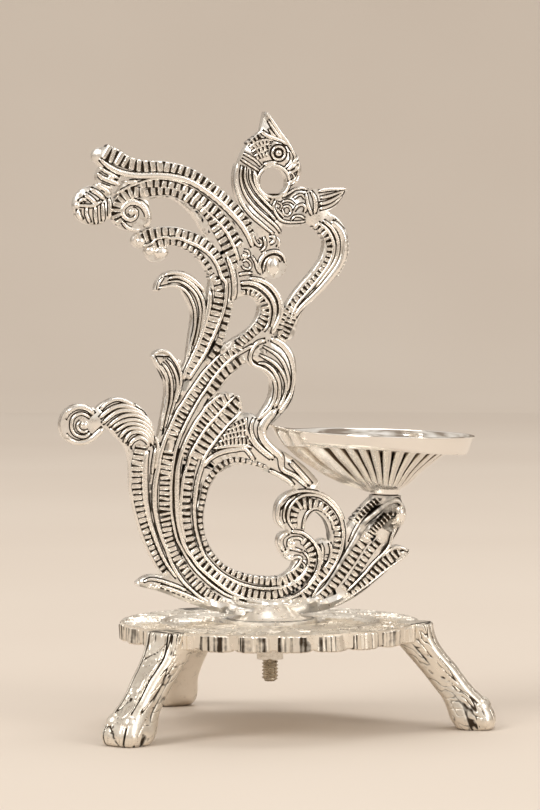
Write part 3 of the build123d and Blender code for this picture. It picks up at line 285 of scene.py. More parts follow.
    "ground_a": [(-39.6, 44.9, 0.6), (-37.4, 45.6, 0.9), (-34.9, 45.3, 1), (-31.9, 44.3, 1.1), (-28.9, 43.2, 1),
        (-26.1, 41.9, 0.8)],
    "ground_b": [(-34.4, 43.6, 1), (-31.4, 42.6, 1.2), (-27.9, 41.2, 1.3), (-24.3, 39.7, 1.2),
        (-21.3, 38.3, 1), (-18.7, 37, 0.8)],
    "foot_band": [(-11.6, 38.6, 1), (-7.8, 37.4, 1.5), (-4, 37.1, 1.8), (-0.1, 37.1, 1.8),
        (3.7, 37.3, 1.5), (5.9, 36.8, 1.3), (8.9, 37.5, 1)],
    "foot_rail": [(-11.6, 39.8, 0.8), (-9.1, 39.4, 0.8), (-6.5, 38.9, 0.9), (-3.4, 38.4, 0.9),
        (-0.1, 38.4, 0.9), (3.2, 38.6, 0.9), (4.8, 39, 0.9), (7.4, 39.8, 0.9), (9.7, 41.2, 0.9),
        (11.8, 43, 0.9), (13.6, 45.2, 0.9), (14.7, 48, 0.9), (15.1, 50.7, 0.9), (14.9, 53.2, 0.9),
        (13.8, 55.2, 0.9)],
    "scroll_edge": [(3.8, 60.3, 1), (2.1, 62.6, 1.1), (1.9, 65.1, 1.1), (2.5, 67.8, 1.1), (4.1, 69.8, 1.1),
        (6.4, 71, 1.1), (8.9, 71.5, 1), (11.5, 71.5, 0.9), (14.1, 71, 0.9), (16.9, 69.9, 0.9),
        (19.3, 67.9, 1), (21.1, 65.5, 1), (22.4, 62.7, 1)],
    "scroll_gap": [(4.3, 61.8, 0.6), (3.7, 64, 0.7), (4.1, 66.5, 0.7), (5.3, 68.5, 0.7), (7.4, 70, 0.7)],
    "scroll_rail": [(6.9, 60, 0.9), (5.3, 62.4, 0.9), (5.1, 64.8, 0.9), (5.9, 67, 0.9), (7.5, 68.9, 0.9),
        (9.7, 70.1, 0.9), (12.3, 70.3, 0.9), (15, 69.8, 0.9), (17.5, 68.2, 1), (19.7, 66, 1),
        (21.3, 63.5, 1.1), (22, 60.7, 1.1), (22.3, 58.2, 1.1), (22, 55.7, 1.1), (21.4, 53, 1.1),
        (20.2, 50.2, 1), (18.7, 47.6, 1), (16.9, 45, 0.9), (14.8, 42.9, 0.9), (12.5, 39.2, 0.8)],
    "scroll_eye": [(9.8, 59.9, 0.8), (10.1, 62.6, 0.9), (11.3, 65.1, 0.9), (13.7, 66.2, 0.8),
        (16.6, 65, 0.8), (18.7, 62.4, 0.8), (19.3, 59.6, 0.8)],
    "crescent_a": [(17.9, 55.8, 0.8), (18.5, 53.8, 0.9), (18.2, 51.5, 0.9), (17.2, 49.3, 0.7),
        (15.9, 47.9, 0.6)],
    "crescent_b": [(15.2, 55.6, 0.6), (15.9, 53.6, 0.8), (15.7, 51.3, 0.8), (15.5, 48.9, 0.7)],
    "whirl_rail": [(5.9, 59.4, 1.1), (9.4, 58.9, 1.1), (11.8, 57.3, 1.1), (13.7, 55.1, 1.1),
        (14.7, 52.6, 1.1), (14.8, 50.1, 1), (14.2, 47.6, 1), (12.9, 45.1, 0.9), (11.1, 43.1, 0.9)],
    "whirl_line": [(9.7, 53.2, 0.7), (11.2, 51.6, 0.8), (11.5, 49.9, 0.8), (10.8, 47.9, 0.8),
        (9.2, 45.9, 0.8), (7.1, 44.2, 0.8), (4.8, 43, 0.8)],
    "whirl_rim": [(3.8, 53.3, 1.3), (2.7, 55.8, 1.4), (3.3, 57.9, 1.4), (5.3, 59, 1.1)],
    "whirl_a": [(5.2, 54.5, 0.8), (5.3, 56.5, 0.9), (7.1, 57.3, 0.9), (9.1, 56.9, 0.9), (9.7, 55.2, 0.8)],
    "whirl_b": [(5.6, 54.1, 0.8), (7.6, 53.8, 0.9), (9.4, 53.1, 0.8)],
    "whirl_c": [(3.8, 52.5, 1.1), (5.6, 50.9, 1.1), (7.5, 51.5, 1), (9.1, 51.2, 0.9), (8.5, 49.4, 1),
        (6.9, 47.7, 1), (5.6, 47, 1)],
    "whirl_leaf": [(9.2, 50, 0.6), (10.2, 48.7, 0.7), (9.8, 47, 0.6)],
    "bracket_light": [(24, 55.7, 0.6), (25.8, 59.4, 0.9), (27.8, 62.4, 1), (30.1, 65.1, 1),
        (32.7, 67.3, 1), (35.3, 69.1, 1)],
    "bracket_smooth": [(12.6, 38.8, 0.7), (13.7, 39.8, 0.8), (16.2, 42, 0.8), (18.3, 44.7, 0.9),
        (20.3, 47.7, 1), (22.1, 50.7, 1.1), (24, 53.5, 1.4), (26, 56.6, 1.8), (27.8, 59.6, 2.2),
        (30.1, 62.3, 2.3), (32.7, 64.8, 2.2), (35.3, 66.8, 1.9), (37.4, 68, 1.5)],
    "bracket_edge": [(38.9, 60.4, 1), (37.4, 57.2, 1), (36.7, 54.7, 0.9), (35.1, 52.5, 0.9),
        (33.2, 50.7, 0.9), (31.4, 49, 0.9), (29.6, 46.9, 0.9), (27.6, 44.9, 0.8), (25.5, 42.8, 0.8),
        (23.4, 40.9, 0.7)],
    "seat_lump_a": [(36.1, 63.5, 1.5), (38.2, 64.5, 2), (40.2, 65, 2), (41.3, 66.2, 1.5)],
    "seat_lump_b": [(36.6, 67, 2), (38.7, 67, 2.3), (40.5, 67.2, 1.8)],
    "seat_lump_c": [(37.1, 61.2, 1.5), (38.9, 62, 1.8), (40.5, 63.2, 1.8)],
    "tail_top": [(42.7, 52.7, 0.7), (40.5, 53.8, 1), (38.4, 53.8, 1), (36.6, 52.9, 0.9), (34.5, 51.2, 0.7)],
    "tail_low": [(42.8, 52.1, 0.6), (40.5, 50.4, 0.8), (37.9, 48.6, 0.8), (35.1, 46.7, 0.8),
        (32.5, 44.7, 0.7), (29.9, 42.7, 0.7), (27.3, 41, 0.7), (24.5, 39.1, 0.7), (21.4, 37.4, 0.7),
        (19.3, 36.4, 0.7)],
    "neck_hole": [(0.6 + 4.85 * math.cos(a), 165.2 + 4.75 * math.sin(a), 0.95)
        for a in (math.radians(15 * k) for k in range(25))],
    "throat_feather_0": [(4.4, 169.8, 0.9), (6.6, 170.8, 0.9), (8.3, 172.5, 0.9)],
    "throat_feather_1": [(4.8, 167.3, 0.9), (6.9, 168.3, 0.9), (8.7, 169.7, 0.9)],
    "throat_feather_2": [(4.7, 164.6, 0.9), (6.3, 165.2, 0.9), (7.5, 166.5, 0.9)],
}
# Lanes of cross bars: pitch along the lane, then x, z and the lane's width
LADDERS = {
    "crown_bars": (2.1, [(-50.5, 173.8, 4.4), (-47.5, 172.3, 4.6), (-44.3, 170.8, 3.8), (-40, 169.7, 3.6),
        (-35, 169.6, 3.2), (-30, 169.1, 3), (-25, 167.7, 2.9), (-20, 164.7, 2.8), (-15, 160.9, 2.6),
        (-11.4, 157.4, 2.4), (-8.6, 153.6, 2.4), (-6.2, 149, 2.2)]),
    "t2_upper": (2.1, [(-39.4, 163.9, 1.8), (-36.7, 164.4, 2.3), (-33.4, 164.2, 2.3), (-31, 163.9, 2.3),
        (-28.8, 163.3, 2.4), (-26.6, 162.5, 2.6), (-24.7, 161.7, 2.7), (-22.2, 160, 2.7),
        (-19.8, 158.4, 2.7), (-17.3, 156.3, 2.6), (-15.1, 153.9, 2.4), (-13.2, 151.2, 2.3),
        (-11.6, 148.8, 2.3), (-9.9, 146.1, 2.3)]),
    "t2_lower": (2.1, [(-38.4, 161.6, 2.3), (-36.7, 162, 2.4), (-34, 162.2, 2.4), (-31.2, 162.2, 2.4),
        (-28.5, 161.4, 2.7), (-26.1, 160.3, 2.7), (-23.9, 159, 2.7), (-21.7, 157.4, 2.7),
        (-19.8, 155.5, 2.7), (-18.4, 153.6, 2.7), (-17.3, 151.5, 3), (-15.9, 149, 3), (-14.6, 146.6, 3),
        (-13.2, 144.2, 3), (-12.1, 141.8, 2.4), (-11.3, 139.6, 1.9)]),
    "t2_wrap": (1.7, [(-39.6, 161.9, 3), (-41.7, 161.8, 3.5), (-43.7, 161.3, 3.5), (-45.4, 160.3, 3.5),
        (-46.7, 158.8, 3.3), (-47.5, 156.8, 3), (-47.6, 154.9, 2.8), (-46.7, 153.1, 2.3)]),
    "t3_upper": (2, [(-40.4, 147.9, 2.8), (-38.1, 148.9, 3.8), (-36.1, 149.6, 3.8), (-33.6, 149.9, 2.8),
        (-32.9, 150.1, 2.4), (-29.3, 149.9, 2.4), (-26.1, 149, 2.6), (-23.3, 148, 2.6),
        (-20.6, 146.6, 2.4), (-18.4, 144.7, 2.3), (-16.5, 142.6, 2), (-15.1, 140.2, 1.9),
        (-14.3, 137.8, 1.8), (-13.5, 135.3, 1.6)]),
    "t3_lower": (1.9, [(-35.8, 145.9, 2.5), (-32.8, 146.7, 2.5), (-30.3, 147, 2), (-28.5, 146.5, 1.6),
        (-26.1, 145.6, 1.6), (-23.6, 144.2, 1.6), (-21.7, 142.3, 1.6), (-20, 140.5, 1.6),
        (-18.9, 138.3, 1.6), (-18.1, 136.2, 1.9), (-17.2, 135.7, 2.3), (-16.5, 133.7, 2.5),
        (-16.2, 131.5, 2.8), (-16.5, 129, 3), (-17, 126.8, 3), (-17.6, 124.5, 3.1), (-18.3, 122.3, 3.1),
        (-19.3, 120, 3.1), (-20.3, 117.8, 3), (-21.4, 115.6, 2.9), (-22.6, 113.1, 2.6),
        (-24.1, 110.8, 2.5), (-25.4, 108.6, 2.3), (-26.1, 106.6, 2)]),
    "stem_outer": (2.2, [(-12.8, 128, 1.8), (-13.4, 125.5, 2), (-14.1, 123, 2.1), (-14.8, 120.5, 2.3),
        (-15.6, 118, 2.4), (-16.6, 115.5, 2.4), (-18, 113.3, 2.1), (-19.8, 111.1, 1.8)]),
    "heart_bars": (1.5, [(-8.7, 131.8, 1.5), (-6.7, 131.8, 1.8), (-4.9, 131, 2), (-3.3, 129.7, 2.3),
        (-2.3, 127.7, 2.4), (-2.1, 125.7, 2.5), (-2.6, 123.5, 2.8), (-3.9, 121.5, 2.8), (-5.6, 120, 2.9),
        (-7.4, 118.5, 2.9), (-9.5, 116.8, 2.8), (-10.9, 114.4, 3), (-12.9, 112.9, 3), (-14.9, 111.4, 3),
        (-16.7, 109.9, 2.8), (-18.5, 108.2, 2.8), (-20, 106.5, 2.8), (-21.8, 104.5, 2.9),
        (-23.3, 102.2, 3), (-24.8, 100, 3), (-26.4, 97.5, 3.1), (-27.6, 95.3, 3.3), (-28.9, 93.1, 3.3),
        (-29.9, 90.6, 3.3), (-30.9, 88.1, 3.3)]),
    "heart_low_bars": (2, [(-9.1, 111.4, 2.5), (-11.1, 110.1, 2.8), (-13.2, 108.6, 2.8),
        (-15.2, 106.7, 2.8), (-17, 104.4, 2.8), (-18.5, 102.2, 2.5), (-19.8, 100.5, 1.8)]),
    "feather_left": (1.45, [(-13.4, 100.4, 2.3), (-15.2, 99.2, 3), (-17, 97.4, 3.3), (-18.7, 95.7, 3.3),
        (-20.5, 93.7, 3.3), (-22.3, 91.5, 3), (-23.8, 89.3, 2.8), (-25.1, 87.1, 2.5), (-26.4, 84.6, 2),
        (-27, 82.6, 1.5)]),
    "feather_right": (1.95, [(-10.6, 98.1, 3.3), (-12.6, 96.2, 3.8), (-14.4, 93.9, 3.8),
        (-16.2, 91.7, 3.8), (-18.2, 89.5, 3.8), (-20, 87.3, 3.6), (-21.8, 84.8, 3.5), (-23.1, 82.3, 3.3),
        (-23.6, 83.2, 3.3), (-24.6, 80.7, 3.3), (-25.3, 78.2, 3.3), (-25.6, 75.7, 3.1), (-26, 73.2, 3),
        (-26.3, 70.7, 2.9), (-26.4, 68.3, 2.9), (-26.4, 65.8, 2.9), (-26.3, 63.5, 2.8), (-26, 61.3, 2.8),
        (-25.6, 58.8, 2.8), (-24.9, 56.5, 2.8), (-24.3, 55.2, 2.5), (-23.1, 52.9, 2.8), (-21.5, 50.9, 2.8),
        (-19.8, 48.8, 2.9), (-18, 47.1, 2.9), (-15.9, 45.3, 2.9), (-13.9, 44, 2.9), (-11.9, 42.7, 2.9),
        (-9.6, 41.7, 2.8), (-7, 40.9, 2.6), (-4.5, 40.3, 2.5), (-1.9, 40, 2.4), (0.6, 40.1, 2.4),
        (2.9, 40.7, 2.5)]),
    "ladder_b": (1.55, [(-31.5, 83.8, 3.3), (-32.1, 81.3, 3.3), (-32.5, 78.8, 3.3), (-32.7, 76.3, 3.3),
        (-32.9, 73.6, 3.3), (-33, 70.6, 3.3), (-33, 67.6, 3.3), (-32.9, 65.1, 3.3), (-32.5, 62.6, 3.1),
        (-32.1, 60.1, 3), (-31.6, 57.6, 2.9), (-30.7, 55.1, 2.8), (-29.6, 52.5, 2.8), (-28.1, 50.2, 2.8),
        (-26.6, 48, 2.8), (-25.1, 46, 2.8), (-23.3, 43.9, 2.8), (-21.3, 42.1, 2.8), (-19.2, 40.6, 2.6),
        (-17.2, 39.3, 2.5), (-15.2, 38.3, 2.3), (-13.1, 37.5, 1.8)]),
    "fan_row_a": (1.1, [(-11.9, 91.5, 1.3), (-9.8, 92.5, 1.4), (-8.3, 93.2, 1.4)]),
    "fan_row_b": (1.1, [(-13.9, 89.4, 1.3), (-11.4, 90.3, 1.4), (-7.8, 91.2, 1.4)]),
    "fan_row_c": (1.1, [(-15.4, 87.7, 1.4), (-12.1, 88.7, 1.5), (-7.8, 89.2, 1.5)]),
    "fan_row_d": (1.1, [(-16.7, 85.6, 1.5), (-13.4, 86.6, 1.8), (-10.1, 86.9, 1.9), (-7.3, 86.7, 1.9)]),
    "ring_teeth": (1.8, [(-1.8, 79, 1), (-5.4, 80.2, 1.4), (-10.4, 81.3, 1.5), (-12.9, 80.9, 1.6),
        (-15.2, 79.8, 1.8), (-17, 78.3, 1.8), (-18.5, 76.6, 1.8), (-19.8, 74.6, 1.8), (-20.6, 72.7, 1.8),
        (-21.1, 70.4, 1.8), (-21.6, 67.9, 1.8), (-22, 65.5, 1.6), (-22.1, 63, 1.5), (-21.7, 60.5, 1.5),
        (-21.1, 58, 1.4), (-20, 54.8, 1.5), (-18.2, 52.3, 1.5), (-16.2, 50, 1.5), (-13.9, 48.2, 1.6),
        (-11.6, 47, 1.9), (-9.1, 45.9, 2.1), (-6.5, 45.1, 2.4), (-4, 44.6, 2.5), (-1.4, 44.3, 2.6),
        (1.2, 44.2, 2.6), (3.8, 44.4, 2.8), (5.9, 45.4, 2.8), (7.4, 46.3, 2.5), (8.7, 47.6, 2)]),
    "crown_bars_a": (1.1, [(-6.9, 176.6, 1.5), (-5.1, 178, 1.5), (-3.6, 179, 1.4)]),
    "crown_bars_b": (1.1, [(-6.2, 175.2, 1.1), (-3.9, 176.4, 1.3), (-1, 177.2, 1.1)]),
    "crown_bars_c": (1.1, [(-4.4, 174.2, 1.1), (-2.3, 175.2, 1.1), (-0.8, 175.5, 1)]),
    "crown_bars_d": (1.1, [(-4.4, 172.4, 1.5), (-2.8, 173.2, 1.8), (-1.3, 173.4, 1.5)]),
    "loop_beads": (1.15, [(23.3, 147.5, 0.6), (23.6, 144.9, 0.7), (23.1, 142.2, 0.7), (21.9, 139.4, 0.8),
        (20, 136.4, 0.8), (17.9, 134, 0.8), (15.6, 131.7, 0.7), (13.3, 129.4, 0.7), (11, 127.4, 0.6)]),
    "loop_bars": (1.65, [(13.8, 151.7, 1.8), (15.6, 150.2, 1.8), (16.9, 148.2, 1.8), (17.8, 146, 1.5),
        (17.7, 143.5, 1.5), (17, 141.2, 1.6), (15.9, 138.9, 1.9), (14.3, 136.7, 2), (12.5, 134.7, 2.1),
        (10.7, 132.7, 2.3), (8.7, 130.4, 2.4), (6.6, 128.2, 2.5), (4.8, 126.2, 2.5), (3.3, 124, 2.5),
        (2.5, 121.7, 2.5), (2.8, 119.5, 2)]),
    "curl_bars": (1.75, [(-39.9, 85.7, 3.8), (-40.4, 83.7, 4), (-40.9, 81.5, 3.8), (-41.4, 79.2, 3.5),
        (-41.6, 77, 3.3), (-41.6, 74.8, 3.1), (-41.4, 72.5, 3), (-41.2, 70.3, 2.9), (-40.8, 68.7, 2.7),
        (-40.3, 66.2, 2.6), (-39.6, 63.2, 2.4), (-38.8, 60.5, 2.3), (-37.9, 57.7, 2.1), (-36.8, 55, 2),
        (-35.5, 52.2, 1.9), (-34, 49.5, 1.8), (-32.6, 47.4, 1.7)]),
    "scroll_bars": (1.7, [(7.1, 61, 1.8), (6.8, 63.5, 2.1), (7.3, 65.7, 2.6), (8.5, 67.2, 3),
        (10.5, 67.6, 3.3), (12.8, 67.5, 3.3), (15.1, 66.9, 2.9), (17.2, 65.3, 2.6), (18.7, 63.3, 2.5),
        (19.9, 61, 2.3), (20.4, 58.8, 2.2), (20.4, 56.5, 2.2), (20.2, 54.2, 2.2), (19.6, 52, 2.2),
        (18.6, 49.5, 2.3), (17, 47.5, 2.4), (15.2, 45.6, 2.5), (13.3, 43.6, 2.5), (11, 40.5, 2.4),
        (8.7, 38.5, 2)]),
    "whirl_bars": (1.55, [(10, 56.2, 2.3), (11.5, 54.6, 2.5), (12.5, 52.6, 2.5), (12.6, 50.6, 2.5),
        (12, 48.4, 2.5), (10.7, 46.1, 2.5), (8.9, 44.4, 2.4), (6.9, 43, 2.3), (3.8, 40.9, 2.3),
        (1.3, 40.4, 2.3)]),
    "bracket_back": (1.55, [(25.8, 62.4, 1.8), (27.3, 64, 2), (28.9, 65.4, 2.3), (30.4, 66.9, 2.3),
        (32, 68.1, 2), (33.5, 69.1, 1.8)]),
    "bracket_bars": (1.75, [(33.5, 62, 3), (32, 60.6, 3.3), (30.1, 58.6, 3.4), (28.6, 56.3, 3.4),
        (27, 54.1, 3.3), (25.5, 51.9, 3.3), (24, 49.6, 3.3), (22.4, 47.4, 3.1), (20.9, 45.2, 3),
        (19.1, 42.9, 2.9), (17, 41, 2.8), (14.9, 39, 2.5)]),
    "bracket_front": (1.65, [(33.5, 56, 2), (31.2, 53.8, 2.4), (29.4, 51.3, 2.4), (27.6, 48.6, 2.4),
        (26, 46.3, 2.3), (24.5, 44.1, 2.1), (22.4, 41.9, 2)]),
    "tail_bars": (1.6, [(39.7, 52.4, 2.3), (37.6, 51.2, 3.1), (35.8, 49.7, 3.3), (34, 48.2, 3.3),
        (32.5, 46.7, 3), (30.9, 45.2, 2.8), (29.1, 43.5, 2.5), (27.6, 42.3, 2.3), (26, 40.8, 2),
        (24, 39.6, 1.8)]),
    "strap_end": (1.3, [(7.3, 126.9, 3.2), (5.5, 123.0, 3.2), (3.2, 117.8, 3.2)]),
}
# Balls and bosses: x, z, half width, half height, how far they stand proud of the web
BOSSES = [
    (-42.9, 156, 1.2, 1.2, 1.1), (2.1, 173.7, 1.1, 1.1, 1.0), (0.4, 139.6, 2.2, 3.1, 1.3),
    (-57.3, 92.2, 1.4, 1.4, 1.1), (6.4, 55.4, 1.4, 1.4, 1.0), (-48.9, 166.4, 1.2, 1.0, 0.8),
    (-40.2, 147, 1.5, 1.4, 0.9), (-37.2, 144.3, 1.5, 1.4, 0.9), (-33.9, 143.8, 2.3, 1.9, 1.0),
    (-8.3, 142.6, 1.0, 0.9, 0.8), (-2.2, 143.4, 0.9, 0.9, 0.8), (-59.3, 157.9, 1.1, 1.0, 0.7),
    (-28.6, 110.9, 0.8, 0.8, 0.7), (4.4, 52.8, 1.0, 0.9, 0.8), (6.0, 51.6, 1.1, 0.9, 0.8),
]
# Beads in a row on the leaf that lies on the ground
GROUND_BEADS = [
    (-37.9, 43.2), (-36.4, 43.3), (-34.7, 43), (-32.8, 42.5), (-31.1, 41.9), (-29.3, 41.3), (-27.9, 40.6),
    (-26.4, 39.9), (-24.9, 39.2), (-23.6, 38.8),
]
BEAD = (0.55, 0.55, 0.8, 12)      # half width, half height, how far proud, sides
GRAIN = (0.62, 0.62, 3.1, 12)
EYE = (2.1, 173.7, 2.0)           # centre and radius of the ring round the peacock's eye
SMALL_RING = (14.4, 60.8, 6.4)    # the small scroll's opening, and a radius that takes in its wall, which is painted dark as shade
# The bracket leaf's rolled edge, the lanes of bars each side of it, its knob, and the grains on the knob
LEAF_ROLL = [
    (26.4, 58.3), (27.9, 60.8), (29.7, 62.8), (33.2, 65.8), (36.5, 67.9), (38.7, 68.3), (39.9, 67.1),
]
LEAF_LANE = [(29.7, 56.8), (31.6, 59.7), (34.0, 62.0), (37.0, 64.7)]
LEAF_BACK = [(26.0, 62.1), (28.7, 65.1), (31.6, 67.6), (33.6, 69.0)]
LEAF_KNOB = (39.7, 64.2, 2.1, 3.9, 2.7)
LEAF_GRAINS = [
    (37.9, 66.0), (40.2, 65.8), (39.0, 64.5), (41.0, 63.9), (37.5, 62.6), (39.8, 61.9), (38.2, 60.2),
]


# Node trees

class Graph:
    """A node tree of a material, the world or a shape, with the steps that they share."""

    def __init__(self, tree):
        self.nodes, self.links = tree.nodes, tree.links

    def fill(self, node, inputs):
        """Sets a node's inputs, or links those that are given a socket."""
        for key, value in inputs.items():
            if isinstance(value, bpy.types.NodeSocket):
                self.links.new(value, node.inputs[key])
            else:
                node.inputs[key].default_value = value

    def add(self, kind, inputs=None, **settings):
        node = self.nodes.new(kind)
        for key, value in settings.items():
            setattr(node, key, value)
        self.fill(node, inputs or {})
        return node

    def math(self, operation, first, second):
        return self.add("ShaderNodeMath", {0: first, 1: second}, operation=operation).outputs["Value"]

    def noise(self, coord, scale, detail, stretch=(1, 1, 1)):
        spread = self.add("ShaderNodeMapping", {"Vector": coord, "Scale": stretch}).outputs["Vector"]
        grain = self.add("ShaderNodeTexNoise", {"Vector": spread, "Scale": scale, "Detail": detail})
        return grain.outputs["Fac"]

    def ramp(self, source, stops):
        band = self.add("ShaderNodeValToRGB", {"Fac": source})
        marks = band.color_ramp.elements
        for mark, (place, colour) in zip((marks[0], marks[1]), (stops[0], stops[-1])):
            mark.position, mark.color = place, (*colour, 1)
        for place, colour in stops[1:-1]:
            marks.new(place).color = (*colour, 1)
        return band.outputs["Color"]

    def span(self, source, low, high, from_low, from_high):
        """A value between two bounds, as the source goes from one bound of its own to the other."""
        return self.add("ShaderNodeMapRange", {
            "Value": source, "From Min": from_low, "From Max": from_high, "To Min": low, "To Max": high,
        }).outputs["Result"]

    def relief(self):
        return self.add("ShaderNodeAttribute", attribute_name="relief").outputs["Fac"]

    def bump(self, height, strength, distance):
        return self.add("ShaderNodeBump", {
            "Height": height, "Strength": strength, "Distance": distance,
        }).outputs["Normal"]

    def named(self, name):
        return self.add("GeometryNodeInputNamedAttribute", {"Name": name}, data_type="FLOAT").outputs["Attribute"]

    def chance(self, low, high, seed):
        return self.add("FunctionNodeRandomValue", {2: low, 3: high, "Seed": seed}, data_type="FLOAT").outputs[1]


# Materials

def new_material(name):
    """A material, its nodes and its object coordinates."""
    made = bpy.data.materials.new(name)
    made.use_nodes = True
    graph = Graph(made.node_tree)
    return made, graph, graph.add("ShaderNodeTexCoord").outputs["Object"]


def metal(graph, colour, rough, normal):
    graph.fill(graph.nodes["Principled BSDF"], {
        "Base Color": colour, "Metallic": 1.0, "Roughness": rough, "Normal": normal,
    })


def antique_silver(name, tarnish, bright, ripple, satin):
    """Silver plate blackened in its recesses: the attribute relief runs from 0 in a recess to 1 on a crest."""
    made, graph, coord = new_material(name)
    cloud = graph.span(graph.noise(coord, 420, 4), -0.16, 0.16, 0.25, 0.75)
    height = graph.math("ADD", graph.relief(), cloud)
    shaded, light = [tuple(min(1, share * part) for part in bright) for share in (0.42, 1.05)]
    wear = graph.span(graph.noise(coord, 900, 2), -0.05, 0.07, 0.3, 0.7)
    gloss = graph.span(height, 0.5, satin, 0.1, 0.8)
    metal(
        graph, graph.ramp(height, [(0.10, tarnish), (0.28, shaded), (0.46, bright), (1.0, light)]),
        graph.math("ADD", gloss, wear), graph.bump(graph.noise(coord, 1500, 2), ripple, 0.0003),
    )
    return made


def bowl_plate(name):
    """Silver plate of the bowl: brown in the grooves, satin on the flutes, and a mirror where relief passes 1."""
    made, graph, coord = new_material(name)
    relief = graph.relief()
    cloud = graph.span(graph.noise(coord, 300, 4), -0.1, 0.1, 0.25, 0.75)
    colour = graph.ramp(graph.math("ADD", relief, cloud), [
        (0.06, (0.07, 0.05, 0.035)), (0.3, (0.42, 0.36, 0.29)),
        (0.6, (0.88, 0.845, 0.79)), (1.0, (0.94, 0.915, 0.88)),
    ])
    gloss = graph.span(relief, 0.26, 0.075, 0.9, 1.9)
    smear = graph.span(graph.noise(coord, 200, 4), -0.015, 0.035, 0.3, 0.7)
    metal(graph, colour, graph.math("ADD", gloss, smear), graph.bump(graph.noise(coord, 130, 2), 0.07, 0.0004))
    return made


def plain_metal(name, dark, light, rough, streak):
    """Plain turned or rolled metal with fine streaks."""
    made, graph, coord = new_material(name)
    streaks = graph.noise(coord, 260, 3, streak)
    worn = graph.span(graph.noise(coord, 900, 3), rough - 0.08, rough + 0.1, 0.3, 0.7)
    metal(graph, graph.ramp(streaks, [(0.3, dark), (0.7, light)]), worn, graph.bump(streaks, 0.06, 0.0002))
    return made


CASTING_SILVER = antique_silver("casting_silver", (0.035, 0.026, 0.018), (0.93, 0.90, 0.855), 0.2, 0.2)
STAND_SILVER = antique_silver("stand_silver", (0.06, 0.045, 0.032), (0.88, 0.825, 0.74), 0.14, 0.3)
BOWL_SILVER = bowl_plate("bowl_silver")
STEEL = plain_metal("stud_steel", (0.46, 0.41, 0.33), (0.72, 0.67, 0.58), 0.26, (1, 1, 6))
NICKEL = plain_metal("nut_nickel", (0.62, 0.57, 0.50), (0.80, 0.76, 0.70), 0.2, (1, 1, 4))


# Shared shaping

AXIS_PLACE = Matrix.Translation((STAND_AXIS * MM, 0, 0))
STAND_PLACE = AXIS_PLACE @ Matrix.Scale(MM, 4)
CASTING_PLACE = AXIS_PLACE @ Matrix.Rotation(PEACOCK_TURN, 4, "Z") @ Matrix.Scale(MM, 4)


def add_piece(mesh, body, slot, finish, *nodes):
    made = bpy.data.objects.new(mesh.name, mesh)
    bpy.context.scene.collection.objects.link(made)
    mesh.materials.clear()
    mesh.materials.append(finish)
    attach(made, body)
    if nodes:
        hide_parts(*nodes)


def turns(count):
    """Angles set evenly round a circle."""
    return [2 * math.pi * k / count for k in range(count)]


def circle(radius, height, count):
    return [(radius * math.cos(a), radius * math.sin(a), height) for a in turns(count)]


def curve_through(points, step):
    """A smooth line through the points, with samples about a step apart."""
    first = tuple(2 * a - b for a, b in zip(points[0], points[1]))
    last = tuple(2 * a - b for a, b in zip(points[-1], points[-2]))
    whole = [first, *points, last]
    line = []
    for p0, p1, p2, p3 in zip(whole, whole[1:], whole[2:], whole[3:]):
        count = max(1, round(math.dist(p1[:2], p2[:2]) / step))
        for i in range(count):
            t = i / count
            line.append(tuple(
                0.5 * (2 * b + (c - a) * t + (2 * a - 5 * b + 4 * c - d) * t * t + (3 * b - a - 3 * c + d) * t ** 3)
                for a, b, c, d in zip(p0, p1, p2, p3)
            ))
    return line + [points[-1]]


def side_of(line, i):
    """The unit vector across a line at one of its points."""
    a, b = line[max(0, i - 1)], line[min(len(line) - 1, i + 1)]
    along = math.hypot(b[0] - a[0], b[1] - a[1]) or 1.0
    return -(b[1] - a[1]) / along, (b[0] - a[0]) / along


class Bag:
    """Points, faces and relief of several shapes that make one mesh."""

    def __init__(self):
        self.verts, self.faces, self.relief = [], [], []

    def tube(self, rings, relief, loop=False):
        """Closed tube through rings of the same number of points, or a loop from the last back to the first."""
        start, around = len(self.verts), len(rings[0])
        for ring, values in zip(rings, relief):
            self.verts += ring
            self.relief += values
        for i in range(len(rings) if loop else len(rings) - 1):
            here, there = start + i * around, start + (i + 1) % len(rings) * around
            for j in range(around):
                k = (j + 1) % around
                self.faces.append((here + j, there + j, there + k, here + k))
        if not loop:
            end = start + (len(rings) - 1) * around
            self.faces += [tuple(range(start, start + around)), tuple(reversed(range(end, end + around)))]

    def mesh(self, name, smooth, place):
        """The mesh in its place, smooth where its faces meet at less than an angle."""
        mesh = bpy.data.meshes.new(name)
        mesh.from_pydata(self.verts, [], self.faces)
        work = bmesh.new()
        work.from_mesh(mesh)
        bmesh.ops.recalc_face_normals(work, faces=work.faces)
        work.to_mesh(mesh)
        work.free()
        mesh.attributes.new("relief", "FLOAT", "POINT").data.foreach_set("value", self.relief)
        mesh.polygons.foreach_set("use_smooth", [smooth > 0] * len(mesh.polygons))
        if smooth:
            mesh.set_sharp_from_angle(angle=math.radians(smooth))
        mesh.update()
        mesh.transform(place)
        return mesh


# Peacock casting

